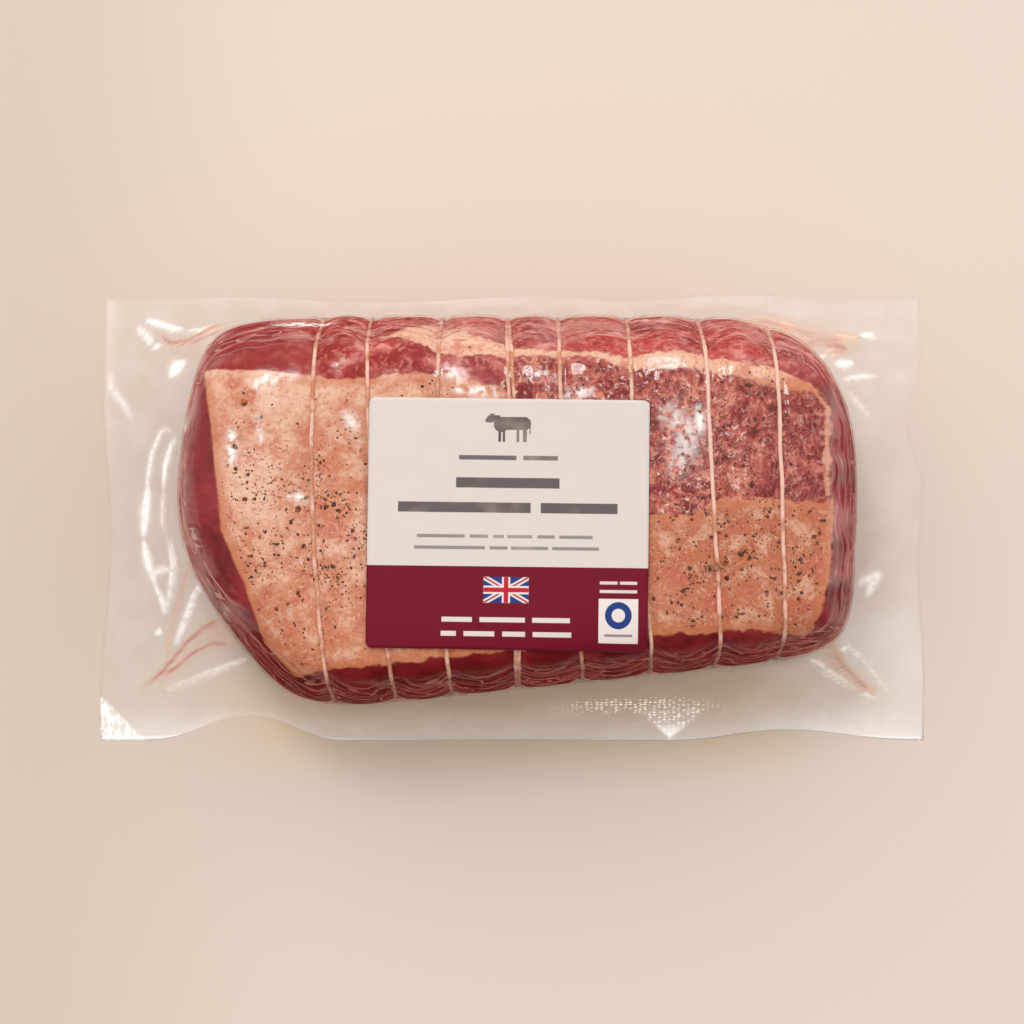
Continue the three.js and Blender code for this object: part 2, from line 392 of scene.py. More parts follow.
def path_distance(points: Array, path: Sequence[Point]) -> tuple[Array, Array]:
    """How far points lie from a path seen from above.

    Args:
        points: The points, as rows of x and y.
        path: The path's corners.

    Returns:
        The distance of each point, and how far along the path its nearest place is, from
        below 0 before the start to above 1 past the end.
    """
    corners = np.array(path, dtype=float)
    run = np.diff(corners, axis=0)
    length = np.linalg.norm(run, axis=1)
    reached = np.concatenate([[0], np.cumsum(length)])
    number = np.arange(len(run))
    low, high = np.where(number == 0, -1.0, 0.0), np.where(number == number[-1], 2.0, 1.0)
    share, away = reached_share(points[:, None, :2] - corners[:-1], run, low, high)
    nearest = away.argmin(axis=1)
    rows = np.arange(len(points))
    along = (reached[nearest] + share[rows, nearest] * length[nearest]) / reached[-1]
    return away[rows, nearest], along


def inside_distance(points: Array, outline: Sequence[Point]) -> Array:
    """How far points lie inside a closed outline seen from above.

    Args:
        points: The points, as rows of x and y.
        outline: The outline's corners.

    Returns:
        The distance of each point, below 0 outside the outline.
    """
    corners = np.array(outline, dtype=float)
    following = np.roll(corners, -1, axis=0)
    run = following - corners
    away = reached_share(points[:, None, :2] - corners, run, 0, 1)[1].min(axis=1)
    y = points[:, 1, None]
    spans = (corners[:, 1] > y) != (following[:, 1] > y)
    with np.errstate(divide="ignore", invalid="ignore"):
        crossing = corners[:, 0] + (y - corners[:, 1]) / run[:, 1] * run[:, 0]
    inside = (spans & (points[:, 0, None] < crossing)).sum(axis=1) % 2 == 1
    return np.where(inside, away, -away)


# -------------------- the joint's form


@dataclass(frozen=True)
class Side:
    """A side of the joint seen from above. Angles are in degrees."""

    bearing: float       # its direction from +X
    distance: float      # how far it lies from the centre
    above: float         # how far it leans in above the widest level
    below: float = 14    # and below that level


@dataclass(frozen=True)
class JointForm:
    """The joint's own form: a block of leaning sides with rounded edges."""

    centre: Place = (0, 2, 32)
    above: float = 43.5
    below: float = 35
    edge: float = 12
    sides: tuple[Side, ...] = (
        Side(-3, 117, 12),
        Side(45, 114, 20),
        Side(90, 65.5, 24),
        Side(145, 128, 20),
        Side(174, 116, 16),
        Side(220, 102, 20),
        Side(276, 62.5, 14),
    )
    half_length: float = 115
    half_width: float = 65.5
    search_steps: int = 26

    def planes(self) -> Array:
        """The planes of the block, each as its normal over its distance from the centre."""
        rows = [(0, 0, 1 / self.above), (0, 0, -1 / self.below)]
        for side in self.sides:
            for slope in (side.above, -side.below):
                bearing, lean = math.radians(side.bearing), math.radians(slope)
                across = math.cos(lean)
                distance = side.distance * across * 2 ** (1 / self.edge)
                normal = (math.cos(bearing) * across, math.sin(bearing) * across, math.sin(lean))
                rows.append(tuple(axis / distance for axis in normal))
        return np.array(rows)

    def level(self, points: Array) -> Array:
        """1 on the surface, less inside it and more outside it."""
        shares = np.maximum(0, (points - self.centre) @ self.planes().T)
        return (shares**self.edge).sum(-1) ** (1 / self.edge)

    def normal(self, points: Array) -> Array:
        """The outward direction at some points."""
        planes = self.planes()
        shares = np.maximum(0, (points - self.centre) @ planes.T) ** (self.edge - 1)
        gradient = shares @ planes
        return gradient / np.linalg.norm(gradient, axis=-1, keepdims=True)

    def gauge(self, points: Array) -> Array:
        """Points moved onto the surface along the lines from the centre."""
        return self.centre + (points - self.centre) / self.level(points)[:, None]

    def from_box(self, points: Array) -> Array:
        """Points of a box from -1 to 1 each way, moved onto the surface."""
        up = np.where(points[:, 2] > 0, self.above, self.below)
        reach = np.stack([np.full_like(up, self.half_length), np.full_like(up, self.half_width), up], 1)
        return self.gauge(self.centre + points * reach)

    def reach(self, origin: Array, direction: Array) -> Array:
        """Where rays meet the surface.

        Args:
            origin: Where each ray starts, inside the joint.
            direction: Where it runs.

        Returns:
            The points on the surface.
        """
        near = np.zeros(len(origin))
        far = np.full(len(origin), 4.0 * self.half_length)
        for _ in range(self.search_steps):
            middle = (near + far) / 2
            inside = self.level(origin + direction * middle[:, None]) < 1
            near, far = np.where(inside, middle, near), np.where(inside, far, middle)
        return origin + direction * near[:, None]

    def over(self, plan: Array) -> Array:
        """The upper surface above points seen from above."""
        origin = np.column_stack([plan[:, :2], np.full(len(plan), self.centre[2])])
        return self.reach(origin, np.broadcast_to((0.0, 0.0, 1.0), origin.shape))


@dataclass(frozen=True)
class Tie:
    """A loop of twine round the joint."""

    at: float         # its place along the joint
    lean: float       # how far its rear end lies ahead of its middle
    bow: float = 0    # how far its middle bows out


@dataclass(frozen=True)
class Ties:
    """The ties, and how they draw the joint in."""

    form: JointForm
    loops: tuple[Tie, ...] = (
        Tie(-62.7, -1.9, -3.2),
        Tie(-43.7, -4.5, -2.3),
        Tie(-22.1, -1.8, -2.2),
        Tie(-0.1, -1.8),
        Tie(20.2, -4.5, -2.3),
        Tie(43.7, -4.4, -2.5),
        Tie(66.8, -3.2, -0.3),
        Tie(88.9, -1.7, 0.3),
    )
    waist: float = 1.0
    waist_reach: float = 4.0
    bulge: float = 0.8
    crest: float = 0.8
    foot: float = 1.5
    settling: int = 3

    def shift(self, at: Array, y: Array) -> Array:
        """How far lines across the joint have moved along it.

        Args:
            at: Where each line is in the middle.
            y: How far across the joint it is looked at.

        Returns:
            The distance moved.
        """
        places = [tie.at for tie in self.loops]
        lean = np.interp(at, places, [tie.lean for tie in self.loops])
        bow = np.interp(at, places, [tie.bow for tie in self.loops])
        across = (y - self.form.centre[1]) / self.form.half_width
        return lean * across + bow * (1 - across**2)

    def station(self, points: Array) -> Array:
        """The place along the joint of some points, measured between the ties as they lie."""
        at = points[:, 0]
        for _ in range(self.settling):
            at = points[:, 0] - self.shift(at, points[:, 1])
        return at

    def fullness(self, at: Array) -> Array:
        """1 halfway between two ties and 0 at each."""
        full = np.zeros_like(at)
        for tie, following in zip(self.loops, self.loops[1:]):
            full += bump(at - (tie.at + following.at) / 2, (following.at - tie.at) / 2)
        return full

    def draw(self, at: Array) -> Array:
        """How far the joint stands out between ties, less how far each tie draws it in."""
        drawn = self.bulge * self.fullness(at)
        for tie in self.loops:
            drawn -= self.waist * bump(at - tie.at, self.waist_reach)
        return drawn

    def ridge(self, at: Array) -> Array:
        """How far the film rises over the twine."""
        return sum(self.crest * bump(at - tie.at, self.foot) for tie in self.loops)


# -------------------- finishes


@dataclass(frozen=True)
class BeefFinish(Finish):
    """Raw beef: dark lean at the sides, a mottled cut on top, and a fat cap with pink patches."""

    name: ClassVar[str] = "beef"
    deep: Tint = srgb(104, 18, 22)
    mid: Tint = srgb(146, 40, 42)
    rear: Tint = srgb(177, 82, 76)
    rear_red: Tint = srgb(190, 62, 56)
    rear_dark: Tint = srgb(141, 46, 46)
    rear_pink: Tint = srgb(214, 146, 136)
    cut: Tint = srgb(168, 80, 70)
    cut_dark: Tint = srgb(122, 32, 28)
    cut_pale: Tint = srgb(208, 128, 108)
    sinew: Tint = srgb(240, 212, 198)
    fat: Tint = srgb(204, 138, 108)
    fat_pale: Tint = srgb(232, 190, 166)
    fat_warm: Tint = srgb(196, 118, 80)
    fat_right: Tint = srgb(174, 92, 53)
    fat_pink: Tint = srgb(190, 96, 80)
    rust: Tint = srgb(166, 88, 46)
    vein: Tint = srgb(172, 66, 56)
    ragged: float = 3.2

    @cached_property
    def bent(self) -> Space:
        """The place, bent by noise."""
        return self.warp(9, 6)

    def lean(self) -> Colour:
        """The colour of the lean meat down the sides, with painted shade down the front and painted light
        on the upper left end.
        """
        x, y, _ = self.axes
        back = y.rise(34, 48)
        streaky = self.noise(7, 3, 0.6, at=self.bent * (0.6, 1, 1))
        flecks = self.noise(2.2, 2, 0.7, at=self.bent)
        rear = self.colour(
            self.rear,
            (self.rear_dark, streaky.rise(0.52, 0.4) * 0.9),
            (self.rear_red, self.noise(21, 1).rise(0.5, 0.62) * 0.55),
            (self.rear_pink, (streaky.rise(0.54, 0.64) * 0.8).most(flecks.rise(0.52, 0.64) * 0.5)),
            (self.rear_dark, (flecks.rise(0.48, 0.38) * 0.5).most(x.rise(-50, -84) * 0.8)),
        )
        grain = self.noise(1.6, 2, 0.6, at=self.bent * (0.35, 1, 1))
        return self.colour(
            self.deep,
            (self.mid, self.noise(13, 2, 0.55, at=self.bent).rise(0.36, 0.6)),
            # darker down the front side: painted shade
            (self.deep, y.rise(-38, -54) * 0.5),
            # lighter on the upper part of the left end: painted light
            (self.mid, x.rise(-97, -103) * y.rise(-34, -14) * 0.6),
            (rear, back),
            (self.deep, grain.rise(0.5, 0.36) * (0.4 - back * 0.2)),
        )

    def cut_face(self) -> Colour:
        """The colour of the lean that is cut across its grain on top."""
        x = self.axes[0]
        mottle = self.noise(5.5, 3, 0.72, at=self.bent)
        pits = Value(self, self.cells(3.4, self.place)[0]).rise(0.3, 0.14)
        pits = pits * self.noise(7, 1).rise(0.4, 0.54)
        strands = abs(self.noise(4.2, 2, 0.6, 1.2, self.bent) - 0.5).rise(0.018, 0.004)
        strands = strands * self.noise(8, 1).rise(0.42, 0.56)
        grain = self.noise(1.5, 2, 0.7, at=self.bent * (1, 0.6, 1))
        flecks = self.noise(2.2, 2, 0.7).rise(0.6, 0.7)
        return self.colour(
            self.cut,
            (self.cut_dark, mottle.rise(0.5, 0.4)),
            (self.cut_pale, mottle.rise(0.52, 0.6) * (x.rise(96, 66) * 0.55 + 0.4)),
            (self.cut_dark, x.rise(74, 94) * mottle.rise(0.6, 0.45) * 0.6),
            (self.deep, pits * 0.85),
            (self.cut_dark, grain.rise(0.5, 0.38) * 0.6),
            (self.cut_pale, grain.rise(0.54, 0.68) * 0.45),
            (self.sinew, strands.most(flecks) * (x.rise(92, 60) * 0.35 + 0.35)),
        )

    def fat_cap(self, reach: Value) -> Colour:
        """The colour of the fat, pinker at its rim, which `reach` measures from, and deeper towards the
        front and the right: partly its own tone, partly painted shade.
        """
        x, y, _ = self.axes
        cap = y.rise(44, 40)
        tone = self.noise(24)
        patches = self.noise(7, 3, 0.66, at=self.warp(4, 3))
        speckle = self.noise(1.3, 2, 0.75)
        spice = self.noise(1.2, 2, 0.6, at=self.place * (1, 0.6, 1)).rise(0.66, 0.72)
        threads = abs(self.noise(6, 2, 0.5, 1.2, self.place * (0.6, 1, 1)) - 0.5).rise(0.014, 0.0)
        return self.colour(
            self.fat,
            (self.fat_pale, tone.rise(0.46, 0.62) * 0.7),
            # warmer blotches of the fat's own, and a deeper tone towards the front that is partly its own
            # and partly painted shade
            (self.fat_warm, (tone.rise(0.5, 0.36) * 0.6).most(y.rise(10, -50) * 0.75)),
            # deep orange on the right: partly the fat's own tone, partly painted shade
            (self.fat_right, x.rise(10, 70) * y.rise(12, -2) * 0.85),
            (self.fat_pale, (1 - cap) * 0.85),
            (self.sinew, x.rise(99, 103) * y.rise(0, 4) * 0.7),
            (self.fat_pale, patches.rise(0.48, 0.64) * (0.55 - x.rise(20, 60) * 0.1)),
            (self.fat_pink, patches.rise(0.46, 0.34) * 0.6),
            (self.fat_warm, speckle.rise(0.52, 0.66) * 0.6),
            (self.fat_pale, speckle.rise(0.46, 0.3) * 0.45),
            (self.rust, spice * (x.rise(10, 60) * 0.5 + 0.3)),
            (self.vein, threads * patches.rise(0.54, 0.42) * 0.7),
            (self.fat_warm, reach.rise(5, 0.5) * (cap * 0.5 + 0.2)),
        )

    def material(self) -> Material:
        """Builds the material."""
        ragged = (self.noise(5, 2, 0.6) - 0.5) * (self.axes[0].rise(-80, -40, self.ragged) + 1.2)
        reach = self.attribute("fat") + ragged
        fatty = reach.rise(-0.5, 0.5)
        cut = (self.attribute("cut") + ragged).rise(-2.5, 1.5)
        flesh = self.lean().mix(self.cut_face(), cut).mix(self.fat_cap(reach), fatty)
        relief = self.bump(fatty * 0.3 + self.noise(2.2, 2, 0.6) * (cut * 0.5 + 0.7), 0.9)
        return self.finish(self.shader(flesh, 0.52 - fatty * 0.05, 0.0, {"Normal": relief}))


@dataclass(frozen=True)
class TwineFinish(Finish):
    """Cotton twine of three strands, greasy and bloody in places."""

    name: ClassVar[str] = "twine"
    cotton: Tint = srgb(246, 204, 184)
    greasy: Tint = srgb(200, 126, 88)
    bloody: Tint = srgb(200, 120, 106)
    shaded: Tint = srgb(150, 84, 66)
    knot_x: float = 67.7
    knot_y: float = -21.0
    strands: int = 3
    turns: int = 56

    def material(self) -> Material:
        """Builds the material."""
        along, around, _ = self.uv()
        lay = ((along * (self.strands * self.turns) + around * self.strands) * math.tau).sine()
        x, y, z = self.axes
        clean = x.rise(48, 58) * y.rise(-8, 2)
        soak = (self.noise(7, 2, 0.6).rise(0.4, 0.6) * 0.7 + 0.25) * (1 - clean * 0.75)
        soak = soak.most(abs(x - self.knot_x).rise(5, 2) * abs(y - self.knot_y).rise(4, 2) * 0.9)
        tint = self.colour(
            self.cotton,
            (self.greasy, soak.most(lay.rise(0.1, -0.9) * 0.25)),
            (self.bloody, z.rise(71, 62) * 0.6),
            (self.shaded, z.rise(71, 62) * y.rise(-30, -50) * 0.7),
        )
        fibres = self.bump(lay * 0.3 + self.noise(0.35, 2, 0.7), 0.15)
        return self.finish(self.shader(tint, 0.75, 0.5, {"Normal": fibres}))


@dataclass(frozen=True)
class PepperFinish(Finish):
    """Cracked pepper: black skins and brown broken faces."""

    name: ClassVar[str] = "pepper"
    skin: Tint = srgb(84, 36, 8)
    broken: Tint = srgb(176, 92, 34)

    def material(self) -> Material:
        """Builds the material."""
        tint = self.colour(self.skin, (self.broken, self.noise(2.2).rise(0.5, 0.64)))
        return self.finish(self.shader(tint, 0.7, 0.1, {"Normal": self.bump(self.noise(0.4), 0.2)}))


@dataclass(frozen=True)
class FilmFinish(Finish):
    """Clear vacuum film: glossy, crinkled, and milky where its two sheets lie together.

    A fine pattern is pressed into its front margin, where it was sealed; its sparkle is a painted
    highlight.
    """

    name: ClassVar[str] = "film"
    clear: Tint = (0.994, 0.992, 0.99, 1)
    black: Tint = (0, 0, 0, 1)
    milk: Tint = srgb(246, 241, 236)
    hazy: Tint = srgb(240, 226, 208)
    gathered: Tint = srgb(230, 184, 174)
    shadowed: Tint = srgb(226, 154, 138)
    shade: Tint = srgb(96, 26, 30)
    wash: Tint = srgb(236, 188, 160)
    stain: Tint = srgb(190, 92, 72)
    least_gloss: float = 0.035
    grazing_gloss: float = 0.14

    @cached_property
    def loose(self) -> Value:
        """How far out over the margin the film lies, 0 on the joint."""
        return self.attribute("loose")

    @cached_property
    def cling(self) -> Value:
        """1 where the film clings to the joint."""
        return self.loose.rise(0.03, 0.0)

    @cached_property
    def steep(self) -> Value:
        """1 on the joint's sides."""
        x, _, z = self.axes
        return z.rise(72, 64).most(x.rise(103, 107) * 0.85) * self.cling

    @cached_property
    def front(self) -> Value:
        """1 on the front side."""
        return self.axes[1].rise(-36, -50)

    @cached_property
    def broad(self) -> Value:
        """Crests of the widest creases."""
        return self.drape(8, 22)

    @cached_property
    def fine(self) -> Value:
        """Crests of the finer creases between them."""
        return self.drape(3.8, 15)

    @cached_property
    def crumple(self) -> Value:
        """Long soft crumples."""
        return self.noise(12, 2, 0.5, 0.8, self.place * (0.5, 1, 0.7))

    @cached_property
    def patchy(self) -> Value:
        """Patches in which the creases come and go."""
        return self.noise(12, 1, at=self.place * (1, 1, 1.5))

    def drape(self, period: float, sway: float) -> Value:
        """Sharp crests of long creases that follow the joint's outline and arch between ties.

        Args:
            period: How far apart they lie up the joint's side.
            sway: Size of the noise that bends them.

        Returns:
            1 on a crest, and 0 halfway between two.
        """
        x, _, z = self.axes
        level = z + self.attribute("full") * ARCH - (x - 102).most(0.0) * 0.9
        wander = self.noise(sway, 1, at=self.place * (1, 1, 0.6))
        return 1 - abs((level * (math.pi / period) + wander * 9).sine())

    def net(self) -> Value:
        """Crests, at 1, of creases that cross each other slantwise."""
        x, _, z = self.axes
        wander = self.noise(15, 1) * 9
        falling = 1 - abs((z * 0.3 + x * 0.13 + wander).sine())
        rising = 1 - abs((z * 0.24 - x * 0.1 + wander).sine())
        return falling.rise(0.72, 0.95).most(rising.rise(0.76, 0.96) * 0.8)

    def pressed(self) -> Value:
        """How white the painted sparkle of the pressed pattern is: a band and a wedge in front, and one
        corner.
        """
        x, y, _ = self.axes
        away, hue = self.cells(0.85, self.place * (0.5, 1, 1), 0.5)[:2]
        chance = Space(self, hue).axes()[0]
        # each pressed dot is a painted glint
        dashes = Value(self, away).rise(0.55, 0.2) * chance.rise(0.0, 0.6)
        drift = self.noise(9, 1) * 3
        band = abs(y + 67.7 - drift + abs(x - 50) * 0.03).rise(3.6, 1.2) * abs(x - 44).rise(44, 6)
        wedge = (abs(x - 55.5) - (y + 78.5) * 1.2).rise(1.5, -2.5) * y.rise(-65, -69)
        faint = abs(y + 69.5).rise(2.5, 0.5) * abs(x + 18).rise(24, 6) * 0.35
        corner = (x + y).rise(-206.5, -208.5)
        streaks = self.noise(1.6, 1, at=self.place * (1, 0.4, 1)).rise(0.35, 0.6)
        # the wedge's lower part: a solid painted highlight
        solid = y.rise(-71, -76) * 0.5 + dashes * 0.3 + 0.2
        white = (band.most(faint) * dashes * 0.9).most(wedge * dashes.most(solid))
        return white.most(corner * (streaks * 0.4 + 0.3))

    def bent(self) -> Space:
        """The normal, bent by creases and turned a little in each facet."""
        x, y, _ = self.axes
        facets = self.centred(self.cells(9, self.warp(14, 9))[1])
        normal = Space(self, self.add("NewGeometry", {}, {}).outputs["Normal"])
        tilted = (normal + facets.scaled(self.cling * 0.05 + 0.03)).unit()
        moist = x.rise(36, 44) * y.rise(-2, 4) * self.cling
        crinkle = self.noise(3.2, 1, 0.55) * (moist * 0.3 + 0.12)
        return self.bump((self.broad * 0.6 + self.crumple * 1.2) * self.steep + crinkle, 0.8, tilted)

    def gloss(self, bent: Space) -> Value:
        """How strongly the film shines, less where it is cloudy."""
        x, y, _ = self.axes
        facing = self.add("LayerWeight", {}, {"Blend": 0.5, "Normal": bent}).outputs["Facing"]
        dull = self.front.most(self.loose.rise(0.8, 1.0)).most(x.rise(-24, -34) * y.rise(33, 37))
        shine = Value(self, facing) ** 5 * self.grazing_gloss + self.least_gloss
        return shine * (1 - dull * 0.75)

    def veil(self) -> Value:
        """How pale the creases and the ends are on the joint's sides: milky haze, with painted reflections
        along the creases.
        """
        x, _, z = self.axes
        broad, crumple, patchy, front = self.broad, self.crumple, self.patchy, self.front
        thin = self.fine.rise(0.5, 0.9) * patchy.rise(0.6, 0.46) * (front * 0.4 + 0.6)
        lines = (broad.rise(0.6, 0.92) * patchy.rise(0.4, 0.58)).most(thin)
        hair = abs(crumple - 0.5).rise(0.02, 0.003)
        lines = lines.most(hair * z.rise(72, 66) * patchy.rise(0.6, 0.45))
        lines = lines.most(self.net() * front * (patchy.rise(0.4, 0.6) * 0.8 + 0.2))
        ends = abs(x).rise(90, 104)
        veil = lines * (ends * 0.3 + 0.45) * (1 - x.rise(102, 106) * 0.35)
        rounded = (x.rise(102, 107) * 0.3).most(x.rise(-99, -105) * 0.55)
        cloudy = (z.rise(69, 54) * ends * 0.5).most(rounded) * z.rise(24, 44)
        veil = (veil * (z.rise(22, 52) * 0.5 + 0.5)).most(cloudy * (patchy.rise(0.3, 0.7) * 0.8 + 0.2))
        return veil.most(crumple.rise(0.46, 0.62) * (0.24 - front * 0.14)) * self.steep

    def milkiness(self) -> Value:
        """How milky the margin and its rim are."""
        x, y, _ = self.axes
        cloud = self.patchy.rise(0.42, 0.66) * 0.06
        cloud = cloud + y.rise(-64, -78) * 0.26 + x.rise(60, 110) * y.rise(-15, -50) * 0.16
        margin = self.loose.rise(0.0, 0.1) * (cloud + 0.02)
        return margin.most(self.loose.rise(0.985, 0.995) * (y.rise(-55, -65) * 0.8 + 0.02))

    def crests(self, shine: Value) -> Value:
        """How white the painted highlights along the sharp creases are, torn into short lengths."""
        ragged = self.noise(2.4, 1, 0.6)
        margin = self.loose.rise(0.0, 0.06) * (ragged.rise(0.3, 0.6) * 0.4 + 0.6)
        return shine * (ragged.rise(0.32, 0.6) * self.cling + margin)

    def material(self) -> Material:
        """Builds the material."""
        juice, shine = self.attribute("juice"), self.attribute("shine")
        bent, veil, pressed, crests = self.bent(), self.veil(), self.pressed(), self.crests(shine)
        dark = self.broad.rise(0.14, 0.0).most(self.fine.rise(0.2, 0.0) * 0.6) * self.steep * 0.3
        # milky haze, with the painted sparkle and crease highlights
        white = self.milkiness().most(pressed).most(crests)
        haze = white.most(veil).most(dark).most(juice * 0.6)
        tint = self.colour(
            self.milk,
            (self.hazy, self.axes[1].rise(-50, -60) * self.loose.rise(0.8, 0.3)),
            (self.colour(self.gathered, (self.shadowed, self.front)), self.steep * (1 - shine)),
            (self.shade, (dark - veil).rise(0.0, 0.1) * (1 - shine)),
            (self.wash, juice.rise(0.0, 0.12)),
            (self.stain, juice.rise(0.3, 0.65)),
        )
        # painted glints of the pressed pattern and the creases, made to glow
        glint = self.colour(self.black, (self.milk, pressed * 0.5 + crests * 0.2))
        glow = {"Normal": bent, "Emission Color": glint, "Emission Strength": 1.0}
        milky = self.shader(tint, 0.45, 0.0, glow).outputs[0]
        clear = self.add("BsdfTransparent", {}, {"Color": self.clear}).outputs[0]
        body = self.add("MixShader", {}, {0: haze, 1: clear, 2: milky}).outputs[0]
        blur = self.loose.rise(0.1, 0.5) * 0.15 + 0.08
        glossy = self.add("BsdfGlossy", {}, {"Roughness": blur, "Normal": bent}).outputs[0]
        self.owner.cycles.emission_sampling = "NONE"
        return self.finish(self.add("MixShader", {}, {0: self.gloss(bent), 1: body, 2: glossy}))


# -------------------- the beef

# The fat cap seen from above, the band of fat behind it, and the lean that is cut across.
FAT_CAP = (
    (-103, 45), (-100, 27), (-96, -9), (-88, -28), (-82, -46), (-72, -57.5),
    (-61, -55), (-31, -52), (-15, -50), (45, -44), (77, -42), (97, -44),
    (101, -39), (105.5, -23), (106, 1), (94, 0), (86, 2), (69, 1), (59, -4), (45, -4),
    (-3, 38), (-23, 43), (-37, 42.5), (-57, 41), (-80, 44),
)
FAT_BAND = (
    (-44, 56), (-34, 61), (-28, 62), (-16, 59.4), (-4, 53.5), (1, 51.5), (28, 50.5), (38, 48.4),
    (54, 51), (66, 48.7), (86, 45), (99.6, 40), (106, 31.5), (105.4, 23), (105, 3),
    (103.6, 3), (103, 14.3), (103.8, 31), (99, 37.4), (86, 38.5), (70, 43.5), (59, 44.6),
    (38, 44.5), (28, 48.3), (9, 49.4), (-7, 48.7), (-25, 50), (-33, 55.2),
)
CUT_FACE = (
    (-6, 38), (2, 49), (28, 48), (60, 46), (90, 42), (104, 36), (105, 2), (86, -2), (64, -8), (0, -8),
)


@dataclass
class Joint:
    """The beef itself, drawn in by its ties."""

    form: JointForm
    ties: Ties
    cells: tuple[int, int, int] = (200, 116, 66)
    film_gap: float = 0.3
    lowest: float = 0.6
    lump: float = 0.5
    rim_reach: float = 20

    def surface(self, points: Array) -> Array:
        """Points of the plain form moved onto the beef."""
        at = self.ties.station(points)
        lumps = 0.5 + 0.3 * hills(points, 15, 3.1) + 0.2 * hills(points, 5, 8.4)
        depth = self.lump * (0.3 + 0.7 * self.ties.fullness(at))
        relief = self.ties.draw(at) - self.film_gap - depth * lumps
        moved = points + self.form.normal(points) * relief[:, None]
        moved[:, 2] = np.maximum(self.lowest, moved[:, 2])
        return moved

    def mesh(self) -> Object:
        """Builds the joint from a block with cells on every side."""
        bm = bmesh.new()
        bmesh.ops.create_cube(bm, size=2.0)
        for axis, count in enumerate(self.cells):
            run = [e for e in bm.edges if abs((e.verts[0].co - e.verts[1].co)[axis]) > 1]
            bmesh.ops.subdivide_edges(bm, edges=run, cuts=count - 1, use_grid_fill=True)
        move_points(bm, lambda box: self.surface(self.form.from_box(box)))
        bmesh.ops.recalc_face_normals(bm, faces=bm.faces)
        return new_object("beef_joint", bm)

    def build(self) -> Object:
        """Builds the joint, and marks its fat and its cut face for the finish."""
        piece = self.mesh()
        points = mesh_points(piece)
        low, high = -self.rim_reach, self.rim_reach
        upper = np.where(points[:, 2] > self.form.centre[2], 0.0, low)
        fat = np.maximum(inside_distance(points, FAT_CAP), inside_distance(points, FAT_BAND))
        cut = inside_distance(points, CUT_FACE)
        keep_values(piece, fat=np.clip(fat, low, high) + upper, cut=np.clip(cut, low, high) + upper)
        piece.data.materials.append(BeefFinish().material())
        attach(piece, "root")
        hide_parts("pouch")
        return piece


